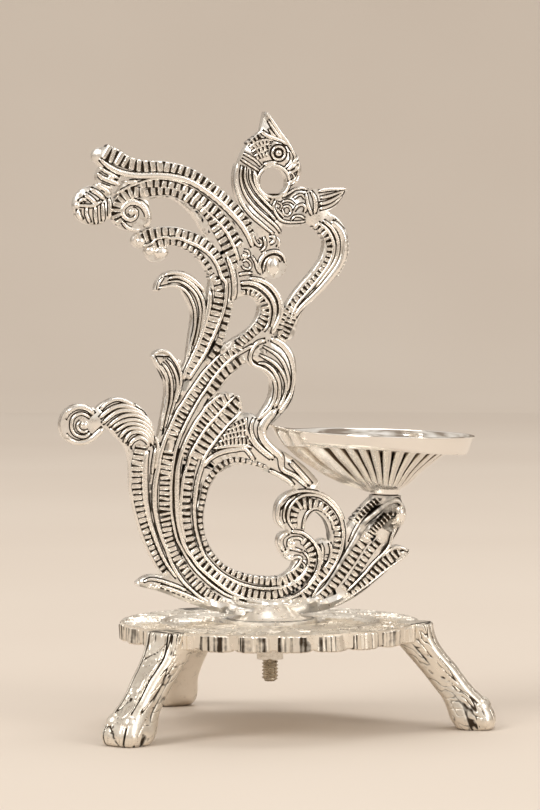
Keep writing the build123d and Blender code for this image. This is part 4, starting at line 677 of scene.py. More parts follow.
RIDGE_ARC = [math.radians(a) for a in (-90, -58, -28, 0, 28, 58, 90)]
DIM_RIDGES = {"bracket_smooth": 0.27}    # ridges painted darker than the rest, a painted dark reflection of the bracket's polished band
RIDGE_SHINE = 0.9
RIDGE_ROOT = WEB - 0.5
SIDE_WALL = (WEB - 0.9, 0.7)             # depth and brightness where a ridge or boss goes into the web
FOOT_TOP, FOOT_TONE = 38.6, 0.52         # below this height the casting is its foot; the foot's brightness
SEAT_X, SEAT_Z = 29.5, 60                # beyond both of these it is the thick leaf end under the bowl
CURL_EDGE, CURL_DEPTH = -62.6, 2.4       # beyond this x the outer curl is thinner, to stay inside the solid's box
RECESS_ROOT, RECESS_FACE, RECESS_TONE = 2.3, 2.56, 0.04
RIDGE_MARGIN, LANE_MARGIN, EYE_MARGIN = 0.3, 0.05, 0.1    # how far a recess goes beyond its line's width
BAR_LOOK = {"Fill": 0.84, "Slant": 0.16, "Unevenness": 0.18, "Seed": 4}


def ridge(bag, points, lift=1.0, bright=RIDGE_SHINE):
    """A ridge that stands out on both faces of the web and runs through it."""
    line = curve_through(points, 0.75)
    run = [0.0]
    for a, b in zip(line, line[1:]):
        run.append(run[-1] + math.dist(a[:2], b[:2]))
    rings, relief = [], []
    for i, (x, z, width) in enumerate(line):
        nx, nz = side_of(line, i)
        near_end = min(run[i], run[-1] - run[i]) / (0.9 * max(width, 0.5))
        ease = math.sqrt(max(0.04, 1 - (1 - min(1, near_end)) ** 2))
        half = 0.56 * max(width, 0.3) * (0.35 + 0.65 * ease)
        rise = WEB - 0.05 + (0.35 + 0.55 * min(1, width / 1.3)) * lift * ease - RIDGE_ROOT
        arc = [
            (-math.sin(a), RIDGE_ROOT + rise * math.cos(a) ** 0.75, math.cos(a) ** 0.45 * bright + 0.1)
            for a in RIDGE_ARC
        ]
        section = [(1, *SIDE_WALL), *arc, (-1, *SIDE_WALL)]
        rings.append([
            (x + nx * half * way * side, side * out, z + nz * half * way * side)
            for side in (-1, 1) for way, out, value in section
        ])
        relief.append([value for way, out, value in section] * 2)
    bag.tube(rings, relief)


def boss(bag, x, z, half_x, half_z, proud, around=20, bright=RIDGE_SHINE):
    """A rounded boss on both faces."""
    shape = [
        (share, WEB - 0.3 + (proud + 0.3) * out, (0.1 + bright * out ** 0.5) * (bright > 0))
        for share, out in ((0.05, 1.0), (0.45, 0.9), (0.72, 0.7), (0.92, 0.38), (1.0, 0.0))
    ]
    shape.append((1.0, *SIDE_WALL))
    rings, relief = [], []
    for side in (-1, 1):
        for share, out, value in shape if side < 0 else reversed(shape):
            rings.append([
                (x + half_x * share * math.cos(a), side * out, z + half_z * share * math.sin(a))
                for a in turns(around)
            ])
            relief.append([value] * around)
    bag.tube(rings, relief)


def on_seat(spot):
    return spot.x > SEAT_X and spot.z > SEAT_Z


def web_tone(v):
    """Brightness of the bare web: its foot, the seat, its floors, and its walls, with the walls in the small opening
    painted dark as shade.
    """
    if v.co.z < FOOT_TOP:
        return FOOT_TONE
    if on_seat(v.co):
        return 0.34
    if any(abs(f.normal.y) > 0.9 for f in v.link_faces):
        return 0.55
    # Walls inside the small scroll's opening get painted shade.
    return 0.22 if math.dist((v.co.x, v.co.z), SMALL_RING[:2]) < SMALL_RING[2] else 0.72


def casting_core():
    """The casting's web: the CAD shape with its raised lines pressed back, to be dressed with finer ones."""
    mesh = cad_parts["peacock_casting"].data.copy()
    mesh.name = "casting_core"
    mesh.transform(CASTING_PLACE.inverted())
    work = bmesh.new()
    work.from_mesh(mesh)
    bmesh.ops.remove_doubles(work, verts=work.verts, dist=0.004)
    for v in work.verts:
        if v.co.z >= FOOT_TOP and not on_seat(v.co):
            v.co.y = max(-WEB, min(WEB, v.co.y))
    bmesh.ops.dissolve_degenerate(work, edges=work.edges, dist=0.003)
    bmesh.ops.recalc_face_normals(work, faces=work.faces)
    work.normal_update()
    layer = work.verts.layers.float.new("relief")
    for v in work.verts:
        v[layer] = web_tone(v)
    for f in work.faces:
        f.smooth = True
    work.to_mesh(mesh)
    work.free()
    mesh.set_sharp_from_angle(angle=math.radians(32))
    outline = BVHTree.FromPolygons(
        [v.co.copy() for v in mesh.vertices], [tuple(p.vertices) for p in mesh.polygons],
    )
    mesh.transform(CASTING_PLACE)
    return mesh, outline


def on_metal(outline, x, z):
    """Whether the casting has metal here, and no opening."""
    return outline.ray_cast(Vector((x, -9, z)), Vector((0, 1, 0)))[0] is not None


def recess(bag, points, margin, outline):
    """Blackened floor along a line on both faces, kept inside the casting's outline."""
    line = curve_through(points, 0.7)
    strip = []
    for i, (x, z, width) in enumerate(line):
        if not on_metal(outline, x, z):
            continue
        nx, nz = side_of(line, i)
        edges = []
        for way in (-1, 1):
            half = way * (0.5 * width + margin)
            while abs(half) > 0.1 and not on_metal(outline, x + nx * half * 1.1, z + nz * half * 1.1):
                half *= 0.8
            edges.append((x + nx * half, z + nz * half))
        strip.append(edges)
    if len(strip) < 2:
        return
    for side in (-1, 1):
        root, face = side * RECESS_ROOT, side * RECESS_FACE
        rings = [[(xa, root, za), (xa, face, za), (xb, face, zb), (xb, root, zb)] for (xa, za), (xb, zb) in strip]
        bag.tube(rings, [[RECESS_TONE] * 4] * len(rings))


def bar_shape():
    """One cross bar of a ladder, a unit long and a unit wide, rounded on both faces."""
    bag = Bag()
    profile = [(-0.5, 0.0), (-0.43, 0.62), (-0.2, 1.0), (0.2, 1.0), (0.43, 0.62), (0.5, 0.0)]
    rings, relief = [], []
    for across, size in ((-0.5, 0.55), (-0.4, 0.95), (0.0, 1.05), (0.4, 0.95), (0.5, 0.55)):
        ring, values = [], []
        for side in (-1, 1):
            for along, out in profile if side < 0 else reversed(profile):
                ring.append((along * (0.75 + 0.25 * size), side * (WEB - 0.35 + 0.85 * out * size), across))
                values.append(0.05 + 0.95 * out * min(1, size + 0.1))
        rings.append(ring)
        relief.append(values)
    bag.tube(rings, relief)
    return bag.mesh("bar_unit", 40, Matrix())


def ladder_lanes(outline):
    """The lanes' middle lines inside the casting's outline, with each point's lane width and bar pitch."""
    verts, edges, widths, pitches = [], [], [], []
    for pitch, points in LADDERS.values():
        start = len(verts)
        for x, z, width in curve_through(points, 0.8):
            if on_metal(outline, x, z):
                verts.append((x, 0, z))
                widths.append(width)
                pitches.append(pitch)
        edges += [(i, i + 1) for i in range(start, len(verts) - 1)]
    mesh = bpy.data.meshes.new("ladder_lanes")
    mesh.from_pydata(verts, edges, [])
    for name, values in (("lane_width", widths), ("bar_pitch", pitches)):
        mesh.attributes.new(name, "FLOAT", "POINT").data.foreach_set("value", values)
    return mesh


def ladder_tree():
    """Bars set across each lane at its pitch, as long as the lane is wide, each a little different."""
    tree = bpy.data.node_groups.new("ladder_bars", "GeometryNodeTree")
    for label, kind in (
        ("Geometry", "Geometry"), ("Bar", "Object"), ("Fill", "Float"), ("Slant", "Float"),
        ("Unevenness", "Float"), ("Seed", "Int"), ("Finish", "Material"),
    ):
        tree.interface.new_socket(label, in_out="INPUT", socket_type="NodeSocket" + kind)
    tree.interface.new_socket("Geometry", in_out="OUTPUT", socket_type="NodeSocketGeometry")
    graph = Graph(tree)
    given = graph.add("NodeGroupInput").outputs
    lane = graph.add("GeometryNodeMeshToCurve", {"Mesh": given["Geometry"]}).outputs["Curve"]
    marks = graph.add(
        "GeometryNodeCurveToPoints", {"Curve": lane, "Length": graph.named("bar_pitch")}, mode="LENGTH",
    ).outputs
    facing = graph.add(
        "FunctionNodeAlignRotationToVector", {"Vector": marks["Tangent"]}, axis="X", pivot_axis="Y",
    ).outputs["Rotation"]
    uneven = graph.chance(
        graph.math("SUBTRACT", 1.0, given["Unevenness"]), graph.math("ADD", 1.0, given["Unevenness"]), given["Seed"],
    )
    thick = graph.math("MULTIPLY", graph.named("bar_pitch"), given["Fill"])
    size = graph.add("ShaderNodeCombineXYZ", {
        "X": graph.math("MULTIPLY", thick, uneven), "Y": 1.0, "Z": graph.named("lane_width"),
    }).outputs["Vector"]
    slant = graph.chance(
        graph.math("MULTIPLY", -1.0, given["Slant"]), given["Slant"], graph.math("ADD", 9, given["Seed"]),
    )
    twist = graph.add("FunctionNodeAxisAngleToRotation", {"Axis": (0, 1, 0), "Angle": slant}).outputs["Rotation"]
    turned = graph.add(
        "FunctionNodeRotateRotation", {"Rotation": facing, "Rotate By": twist}, rotation_space="LOCAL",
    ).outputs["Rotation"]
    shape = graph.add("GeometryNodeObjectInfo", {"Object": given["Bar"]}).outputs["Geometry"]
    bars = graph.add("GeometryNodeInstanceOnPoints", {
        "Points": marks["Points"], "Instance": shape, "Rotation": turned, "Scale": size,
    }).outputs["Instances"]
    whole = graph.add("GeometryNodeRealizeInstances", {"Geometry": bars}).outputs["Geometry"]
    finish = graph.add("GeometryNodeSetMaterial", {"Geometry": whole, "Material": given["Finish"]})
    graph.add("NodeGroupOutput", {"Geometry": finish.outputs["Geometry"]})
    return tree


def casting_bars(outline):
    """The tree's bars on the lanes, as a plain mesh."""
    unit = bpy.data.objects.new("bar_unit", bar_shape())
    carrier = bpy.data.objects.new("bar_lanes", ladder_lanes(outline))
    for helper in (unit, carrier):
        bpy.context.scene.collection.objects.link(helper)
    change = carrier.modifiers.new("bars", "NODES")
    change.node_group = ladder_tree()
    values = {**BAR_LOOK, "Bar": unit, "Finish": CASTING_SILVER}
    for item in change.node_group.interface.items_tree:
        if item.in_out == "INPUT" and item.name in values:
            change[item.identifier] = values[item.name]
    mesh = bpy.data.meshes.new_from_object(carrier.evaluated_get(bpy.context.evaluated_depsgraph_get()))
    mesh.name = "casting_bars"
    for helper in (carrier, unit):
        bpy.data.objects.remove(helper)
    mesh.transform(CASTING_PLACE)
    return mesh


def eye_circle(radius, width):
    x, z = EYE[:2]
    return [(x + radius * math.cos(a), z + radius * math.sin(a), width) for a in (*turns(18), 2 * math.pi)]


def deep_roll(bag, path, width, depth, low, high):
    """A rolled edge as deep as the bowl's seat, with its brightness at the sides and on the faces."""
    line = curve_through(path, 0.5)
    rings, relief = [], []
    for i, (x, z) in enumerate(line):
        nx, nz = side_of(line, i)
        share = i / (len(line) - 1)
        half = 0.5 * width * math.sqrt(max(0.06, 1 - (max(0.0, share - 0.85) / 0.15) ** 2))
        deep = WEB + (depth - WEB) * min(1, 2.2 * share)
        ring, values = [], []
        for angle in turns(24):
            c, s = math.cos(angle), math.sin(angle)
            ring.append((x + nx * half * c, math.copysign(abs(s) ** 0.7, s) * deep, z + nz * half * c))
            values.append(low + (high - low) * abs(s))
        rings.append(ring)
        relief.append(values)
    bag.tube(rings, relief)


def bracket_leaf(bag):
    """Where the leaf carries the bowl: its rolled edge, a lane of bars each side of it and a grained knob."""
    deep_roll(bag, LEAF_ROLL, 3.3, 5.1, 0.0, 0.0)
    # The rolled edge is painted dark, darker still at its sides: painted dark reflection of its polish and painted
    # shade at its edges.
    deep_roll(bag, LEAF_ROLL, 2.5, 5.5, 0.24, 0.4)
    for lane, width in ((LEAF_LANE, 3.4), (LEAF_BACK, 2.4)):
        deep_roll(bag, lane, width, 5.0, 0.0, 0.05)
        line = curve_through(lane, 1.25)
        reach = 0.47 * width
        for i, (x, z) in enumerate(line[:-1]):
            nx, nz = side_of(line[i:i + 2], 0)
            lift = 1 + 2.7 * min(1, 2.2 * (i + 0.5) / len(line))
            ridge(bag, [(x + nx * t, z + nz * t, 0.95) for t in (-reach, 0.0, reach)], lift)
    boss(bag, *LEAF_KNOB)
    for x, z in LEAF_GRAINS:
        boss(bag, x, z, *GRAIN)


def casting_piece(mesh, *nodes):
    add_piece(mesh, "peacock", "casting_silver", CASTING_SILVER, *nodes)


def trim_mesh(bag, name):
    """Mesh of the casting's trim, with the outer curl kept thin."""
    bag.verts = [
        (x, max(-CURL_DEPTH, min(CURL_DEPTH, y)) if x < CURL_EDGE else y, z) for x, y, z in bag.verts
    ]
    return bag.mesh(name, 50, CASTING_PLACE)


def dress_casting():
    core, outline = casting_core()
    casting_piece(core, "peacock_casting")
    names = sorted(RIDGES)
    half = len(names) // 2
    for label, group in (("casting_ridges_a", names[:half]), ("casting_ridges_b", names[half:])):
        bag = Bag()
        for name in group:
            ridge(bag, RIDGES[name], 1.0, DIM_RIDGES.get(name, RIDGE_SHINE))
        casting_piece(trim_mesh(bag, label))
    bag = Bag()
    for points in RIDGES.values():
        recess(bag, points, RIDGE_MARGIN, outline)
    for pitch, points in LADDERS.values():
        recess(bag, points, LANE_MARGIN, outline)
    for radius in (1.3, 2.6):
        recess(bag, eye_circle(radius, 0.4), EYE_MARGIN, outline)
    casting_piece(trim_mesh(bag, "casting_recesses"))
    casting_piece(casting_bars(outline))
    bag = Bag()
    for spot in BOSSES:
        boss(bag, *spot)
    for x, z in GROUND_BEADS:
        boss(bag, x, z, *BEAD)
    ridge(bag, eye_circle(EYE[2], 0.8))
    boss(bag, EYE[0], EYE[1], 0.5, 0.5, 1.15, 14, 0.0)
    bracket_leaf(bag)
    casting_piece(trim_mesh(bag, "casting_bosses"))


dress_casting()


# Oil bowl, in its own frame: the axis through its neck, the lip towards -X

BOWL_PLACE = (
    CASTING_PLACE @ Matrix.Translation((35.8, 0, 69.8)) @ Matrix.Rotation(math.radians(2), 4, "Y")
)
FLUTES = 28
DISH_BOTTOM, DISH_SLOPE, RIM_HEIGHT = 14.4, math.tan(math.radians(3)), 19.1
# Ring under the cup: radius, height, brightness
NECK_RING = [(4.1, 0.02, 0.0), (4.15, 0.36, 0.0), (4.45, 0.42, 1.5), (4.5, 0.6, 1.6), (4.45, 0.8, 1.6)]
# Sections up the cup: height, radius, reach of its tip
CUP = [
    (0.9, 4.5, 6.0), (1.9, 4.7, 9.3), (2.9, 6.3, 12.8), (4.9, 8.4, 17.6), (7.6, 10.9, 22.6),
    (10.7, 14.3, 27.4), (14.4, 18.4, 31.4),
]
# The dish's wall at its foot, and how far it flares by the rim: its radius, then the reach of its lip
DISH_WALL = ((24.6, 1.9), (32, 4.3))
LIP_WIDTH = 3
PLEATS = (3, 15, 6)    # degrees off the lip where the folds begin and end, and from one to the next


def off_lip(angle):
    return abs(math.remainder(angle - math.pi, 2 * math.pi))


def cup_reach(angle, radius, tip):
    """A circle with its tangents to a tip, by angle."""
    return radius / math.cos(max(math.acos(radius / tip) - off_lip(angle), 0))


def dish_reach(angle, radius, tip, width):
    """The same with a short straight end across the tip."""
    away = off_lip(angle)
    corner = math.atan2(width / 2, tip)
    touch = corner + math.acos(radius / math.hypot(tip, width / 2))
    if away < corner:
        return tip / math.cos(away)
    return radius / math.cos(max(touch - away, 0))


def wall_reach(angle, share, inset):
    """Reach of the dish's wall at a share of its height."""
    radius, tip = (foot + flare * share for foot, flare in DISH_WALL)
    return dish_reach(angle, radius - inset, tip - 2 * inset, LIP_WIDTH - inset)


def lip_rise(x):
    return 1.3 * max(0.0, (-x - 24) / 11.1) ** 2


def lip_sag(x):
    """How far the dish's lower edge hangs down towards the lip."""
    return 2.0 * (max(0.0, -x) / 31) ** 2


def under(x, above):
    """A height above the dish's lower edge."""
    return DISH_BOTTOM - x * DISH_SLOPE - lip_sag(x) + above


def up(x, share, below=0.0):
    """A share of the way from the dish's lower edge to its rim, less a little."""
    low = under(x, 0)
    return low + (RIM_HEIGHT + lip_rise(x) - low) * share - below


def valley(angle):
    """0 on a flute's crest, 1 in the groove beside it."""
    return 2 * abs(math.remainder(angle * FLUTES / (2 * math.pi), 1))


def flute(angle):
    return math.sqrt(max(0.0, 1 - valley(angle) ** 2))


def fluted(angle):
    """How far the flutes are worked: faint beside the lip, full from the middle of the cup on."""
    return min(1, max(0.25, (math.degrees(off_lip(angle)) - 10) / 16))


def pleat(angle):
    """Folds pressed in beside the pinched lip, from 0 to 1 deep; the wall is also painted darker by this much, as
    painted shade in the folds.
    """
    first, last, pitch = PLEATS
    away = math.degrees(off_lip(angle))
    return abs(math.sin(math.pi * (away - first) / pitch)) if first < away < last else 0.0


def bowl_mesh():
    angles = turns(12 * FLUTES)
    rings, relief = [], []

    def ring(reach_at, height_at, value_at):
        """One ring round the bowl: its reach and brightness by angle, its height by x."""
        points = []
        for angle in angles:
            reach = reach_at(angle)
            x = reach * math.cos(angle)
            points.append((x, reach * math.sin(angle), height_at(x)))
        rings.append(points)
        relief.append([value_at(angle) for angle in angles])

    for radius, height, value in NECK_RING:
        ring(lambda a: radius, lambda x: height, lambda a: value)
    for height, radius, tip in curve_through(CUP, 0.75):
        rise = (height - CUP[0][0]) / (DISH_BOTTOM - CUP[0][0])
        end = math.sqrt(max(0.0, 1 - max(0.0, (rise - 0.9) / 0.1) ** 2))
        deep = 0.1 * end * max(0.0, min(1, 2.2 * (rise - 0.06))) ** 0.8
        wide = 0.86 - 0.3 * rise
        ring(
            lambda a: cup_reach(a, radius, tip) * (1 - deep * fluted(a) * (1 - flute(a))),
            lambda x: height - (x * DISH_SLOPE + lip_sag(x)) * rise,
            lambda a: 1 - min(1, max(0.0, valley(a) - wide) / 0.12) * min(1, deep * fluted(a) / 0.04),
        )
    for share in (0.3, 0.7):
        ring(
            lambda a: cup_reach(a, *CUP[-1][1:]) * (1 - share) + wall_reach(a, 0, 0.7) * share,
            lambda x: under(x, 0.02), lambda a: 0.75,
        )
    for inset, above in ((0.45, 0.02), (0.15, 0.12), (0.0, 0.4)):
        ring(lambda a: wall_reach(a, 0, inset), lambda x: under(x, above), lambda a: 0.9)
    # Up the wall the folds are painted darker as well as pressed in: painted shade in the folds.
    for share in (0.12, 0.3, 0.5, 0.7, 0.86):
        ring(
            lambda a: wall_reach(a, share, 0) - 1.1 * pleat(a) * math.sin(math.pi * share) ** 0.6,
            lambda x: up(x, share), lambda a: 2.0 - 1.5 * pleat(a),
        )
    for inset, below in ((-0.12, 0.55), (-0.22, 0.3), (-0.1, 0.08), (0.25, 0.0), (0.65, 0.06), (0.95, 0.35)):
        ring(lambda a: wall_reach(a, 1, inset), lambda x: up(x, 1, below), lambda a: 1.6)
    for inset, share in ((1.05, 0.7), (1.2, 0.5), (1.7, 0.34), (2.8, 0.27), (5.0, 0.245)):
        ring(lambda a: wall_reach(a, share, inset), lambda x: up(x, share), lambda a: 2.0)
    for radius in (16.5, 15.5, 14, 12, 9.5, 7, 4.5, 2, 0.4):
        drop = 4 - min(4, radius ** 2 / 64)
        ring(lambda a: radius, lambda x: under(x, 1.2 - drop), lambda a: 1.8)
    bag = Bag()
    bag.tube(rings, relief)
    return bag.mesh("oil_bowl", 42, BOWL_PLACE)


# Stand

LEG_ANGLES = {"leg_right": 0, "leg_rear": 126, "leg_front": -126}
LEG_SLOT = (39, 5.6, -2.0)      # reach, half width and depth of the slots in which the legs sit
LOBES = 24                      # lobes round the rim, with a petal inside each
LOBE = 360 / LOBES
PLATE_FLOOR = -0.12             # the ground between the embossed forms
EMBOSSED_FROM = 15.3
# Edge and underside of the plate: radius, height
PLATE_UNDER = [
    (45.15, 31.2), (45.15, 27.9), (44.9, 27.6), (41.2, 27.6), (41.0, 27.8), (41.0, 28.6), (40.7, 28.7),
    (8.4, 28.7), (8.0, 28.4), (8.0, 25.7), (7.8, 25.5), (2.62, 25.5),
]
# Raised rings on the plate: radius, half width, height
PLATE_RINGS = [(32.5, 1.0, 0.62), (16.4, 0.8, 0.42), (30.6, 0.45, 0.4), (44.9, 0.9, 0.45)]
# Two rows of petals inside the ring: how many, their turn in degrees, root and tip radius, height
INNER_PETALS = [(12, 0.0, 17.2, 30.2, 0.62), (12, 15.0, 23.5, 30.2, 0.45)]
OUTER_PETALS = (33.4, 44.6)     # root and tip radius of the petals outside the ring
PETAL_DOT = (36.2, 0.8, 0.55)   # radius, half width and height of the dots between those petals
RIM_RADIUS, RIM_INNER, RIM_NOTCH, RIM_LOW = 45.5, 44.2, 44.9, 26.85
# Sections down a leg: height, inner and outer reach from the stand's axis, width
LEG = [
    (32.0, 38.3, 49.0, 12.6), (31.4, 38.0, 49.4, 13.0), (29.2, 38.0, 49.8, 13.0), (26.8, 38.4, 50.6, 12.8),
    (24.3, 40.4, 52.0, 12.2), (21.5, 42.8, 54.2, 11.5), (18.8, 45.1, 56.6, 10.9), (15.5, 47.8, 59.0, 10.3),
    (12.4, 50.2, 61.5, 10.4), (9.2, 52.6, 64.8, 11.2), (6.2, 53.9, 67.3, 12.6), (3.6, 54.8, 68.4, 13.4),
    (1.6, 56.0, 68.4, 12.8), (0.5, 57.2, 67.9, 11.8), (0.02, 58.4, 66.8, 10.4),
]
# Toes and knuckles of a foot: side, reach, height, half size
TOES = [
    (-4.6, 65.2, 2.9, 2.6), (-1.6, 66.0, 2.7, 2.4), (1.5, 66.0, 2.7, 2.4), (4.5, 65.2, 2.9, 2.6),
    (-3.1, 63.9, 6.3, 3.2), (3.1, 63.9, 6.3, 3.2),
]
STUD_TIP, STUD_TOP, STUD_RADIUS = 13.72, 37.3, 2.5
THREAD_PITCH, THREAD_DEPTH, THREAD_STEP = 1.06, 0.5, 0.118
# Bead round the edge of the casting's turned foot: radius, height
FOOT_BEAD = [(13.9, 31.74), (14.42, 31.86), (14.5, 32.2), (14.4, 32.6), (14.0, 32.82), (13.2, 32.86), (12.8, 33.0)]


def bump_at(distance, half):
    """A rounded bead's height at a distance from its middle line."""
    return math.sqrt(max(0.0, 1 - (distance / half) ** 2))


def petal(across, along, full=0.55):
    """Height of one embossed petal: across from -1 to 1, along from its root 0 to its tip 1."""
    if not 0 < along < 1:
        return 0.0
    half = 1.28 * along ** full * (1 - along) ** 0.34
    inside = 1 - abs(across) / min(half, 0.97)
    if inside <= 0:
        return 0.0
    edge = bump_at(inside - 0.16, 0.16)
    vein = bump_at(across, 0.09) * (along < 0.86)
    rays = 0.5 + 0.5 * math.cos(9 * math.pi * (along - 0.5 * abs(across)))
    return max(edge, 0.85 * vein, 0.42 * min(1, 3 * inside) * (0.8 + 0.2 * rays))


def plate_height(radius, angle):
    """Embossing of the plate's top, above or below its flat."""
    rise = max(PLATE_FLOOR, *(lift * bump_at(radius - middle, half) for middle, half, lift in PLATE_RINGS))
    turn = math.degrees(angle) % 360
    for count, shift, low, high, lift in INNER_PETALS:
        if INNER_PETALS[0][2] < radius < high:
            across = math.remainder(turn - shift, 360 / count) / (180 / count)
            rise = max(rise, lift * petal(across, (radius - low) / (high - low)) - 0.02)
    low, high = OUTER_PETALS
    if low < radius < high:
        across = math.remainder(turn, LOBE) / (LOBE / 2)
        rise = max(rise, 0.72 * petal(across, (radius - low) / (high - low), 0.42) - 0.02)
        gap = math.radians(math.remainder(turn - LOBE / 2, LOBE)) * radius
        middle, half, lift = PETAL_DOT
        rise = max(rise, lift * bump_at(math.hypot(gap, radius - middle), half))
    rough = noise.noise(Vector((radius * math.cos(angle), radius * math.sin(angle), 3.7)) * 0.9)
    return rise + 0.07 * rough


def in_slot(radius, angle):
    offs = [angle - math.radians(middle) for middle in LEG_ANGLES.values()]
    return any(
        radius * math.cos(off) > LEG_SLOT[0] and abs(radius * math.sin(off)) < LEG_SLOT[1] for off in offs
    )


def plate_mesh():
    around = 540
    rings, relief = [], []
    for radius in [2.62, 9, 14.6, 15.2] + [15.6 + 0.36 * k for k in range(83)]:
        points, values = [], []
        for angle in turns(around):
            rise = plate_height(radius, angle) if radius > EMBOSSED_FROM else PLATE_FLOOR
            values.append(0.3 + 1.05 * (rise - PLATE_FLOOR))
            height = PLATE_TOP + (LEG_SLOT[2] if in_slot(radius, angle) else rise)
            points.append((radius * math.cos(angle), radius * math.sin(angle), height))
        rings.append(points)
        relief.append(values)
    for radius, height in PLATE_UNDER:
        rings.append(circle(radius, height, around))
        relief.append([0.75] * around)
    bag = Bag()
    bag.tube(rings, relief, loop=True)
    return bag.mesh("stand_top", 38, STAND_PLACE)


def rim_mesh():
    """The plate's rim: lobes cut in narrow upright facets, no two alike, each painted lighter or darker as a painted
    reflection, and darker in the notches between lobes.
    """
    dice = random.Random(7)
    # Each lobe painted lighter or darker as a whole: painted reflections.
    lobe_reflections = [dice.choice((0.5, 0.58, 0.75, 1.0, 1.0, 1.1)) for k in range(LOBES)]
    tilts = [dice.uniform(-0.3, 0.3) for k in range(LOBES)]
    cuts, turn = [], 0.0
    while turn < 359.5:
        cuts.append(turn)
        turn += math.degrees(dice.uniform(0.22, 0.95) / RIM_RADIUS)
    columns = []
    for turn in cuts:
        angle = math.radians(turn)
        number = round(turn / LOBE) % LOBES
        gap = math.radians(abs(math.remainder(turn - LOBE / 2, LOBE))) * RIM_RADIUS
        lobe = abs(math.cos(LOBES / 2 * angle)) ** 0.7
        notch = max(0.0, 1 - gap / 0.6)
        out = RIM_NOTCH + lobe - 0.8 * notch + dice.uniform(-0.34, 0.12)
        low = RIM_LOW + 0.75 * (1 - lobe) ** 2 + dice.uniform(-0.08, 0.08)
        high = PLATE_TOP + 0.02 + dice.uniform(-0.12, 0.14)
        # Each facet painted a random light or dark tone as a painted reflection, and darker in the notches between
        # lobes.
        dark = dice.choice((0.12, 0.5, 0.7, 0.9, 1.0, 1.1)) * lobe_reflections[number] * (1 - 0.9 * notch)
        lean = 0.6 * tilts[number] + dice.uniform(-0.14, 0.14)
        profile = (
            (RIM_INNER, high, 0.6), (out - 0.3, high, 0.8), (out + min(lean, 0.1), high - 0.35, dark),
            (out - max(lean, -0.1), low + 0.45, dark), (out - 0.45, low, 0.6), (RIM_INNER, low, 0.5),
        )
        columns.append([
            ((radius * math.cos(angle), radius * math.sin(angle), height), value)
            for radius, height, value in profile
        ])
    rings = list(zip(*columns))
    bag = Bag()
    bag.tube(
        [[spot for spot, value in ring] for ring in rings], [[value for spot, value in ring] for ring in rings],
        loop=True,
    )
    return bag.mesh("stand_rim", 0, STAND_PLACE)


def groove(x, y, z, width):
    """1 along a winding line, falling to 0 at the given distance from it."""
    return max(0.0, 1 - abs(noise.noise(Vector((x, y, z)))) / width)


def carve(side, run, seed):
    """Depth of the chasing on a leg's outer face: side from -1 to 1 across it, run in mm down from the top."""
    waver = 0.09 * noise.noise(Vector((seed, run * 0.11, 2.0)))
    depth = 0.5 * max(0.0, 1 - abs(abs(side) - 0.62 - waver) / 0.07)
    if abs(side) < 0.6:
        depth = max(
            depth,
            0.42 * groove(side * 1.5, run * 0.07, seed, 0.06),
            0.34 * groove(side * 2.2 + run * 0.05, run * 0.12, seed + 5, 0.055) * (run > 9),
            0.26 * groove(side * 5.2, run * 0.06, seed + 8, 0.07) * (run > 5),
        )
    if run < 9:
        depth = max(depth, 0.34 * groove(side * 6.5, run * 0.1, seed + 2, 0.12) * min(1, (9 - run) / 3))
    return depth


def carve_side(out, run, seed):
    """Depth and brightness on a leg's side: a bright veined half outwards, and a matt one below a wavy line."""
    line = -0.12 + 0.2 * noise.noise(Vector((seed, run * 0.09, 4.0)))
    depth = 0.42 * max(0.0, 1 - abs(out - line) / 0.06)
    if out < line:
        depth = max(depth, 0.16 * groove(run * 0.4, out * 2.5, seed + 9, 0.14))
        return depth, 0.52 - 1.6 * depth
    depth = max(
        depth,
        0.42 * groove(out * 2.3, run * 0.065, seed, 0.07),
        0.34 * groove(out * 2.6 - run * 0.06, run * 0.11, seed + 3, 0.06),
    )
    if run < 8:
        depth = max(depth, 0.32 * groove(out * 5.5, run * 0.1, seed + 2, 0.12) * min(1, (8 - run) / 3))
    return depth, 0.86 - 2.6 * depth


def ball(bag, x, y, z, half, flat):
    """A ball of a toe, flatter across the foot."""
    rings = []
    for k in range(1, 12):
        size = math.sin(math.pi * k / 12)
        lift = math.cos(math.pi * k / 12)
        rings.append([
            (x + half * size * math.cos(a), y + half * flat * size * math.sin(a), z + half * lift)
            for a in turns(18)
        ])
    bag.tube(rings, [[0.8] * 18] * len(rings))


def leg_mesh(name, turn, seed):
    rings, relief = [], []
    for height, middle, length, width in curve_through([(z, (a + b) / 2, b - a, w) for z, a, b, w in LEG], 0.26):
        run = 1.25 * (LEG[0][0] - height)
        points, values = [], []
        for angle in turns(220):
            c, s = math.cos(angle), math.sin(angle)
            u = math.copysign(abs(c) ** 0.5, c) * length / 2
            v = math.copysign(abs(s) ** 0.5, s) * width / 2
            depth, value = 0.0, 0.52
            if c > 0.5:
                depth = carve(2 * v / width, run, seed)
                value = (0.95 if abs(v) < 0.31 * width else 0.6) - 2.8 * depth
            elif abs(s) > 0.72:
                depth, value = carve_side(2 * u / length, run, seed + (7 if s > 0 else 0))
            shrink = 1 - depth / (0.5 * min(length, width))
            points.append((middle + u * shrink, v * shrink, height))
            values.append(max(0.0, value))
        rings.append(points)
        relief.append(values)
    bag = Bag()
    bag.tube(rings, relief)
    for side, reach, height, half in TOES:
        ball(bag, reach, side, height, half, 0.86)
    return bag.mesh(name, 60, STAND_PLACE @ Matrix.Rotation(math.radians(turn), 4, "Z"))


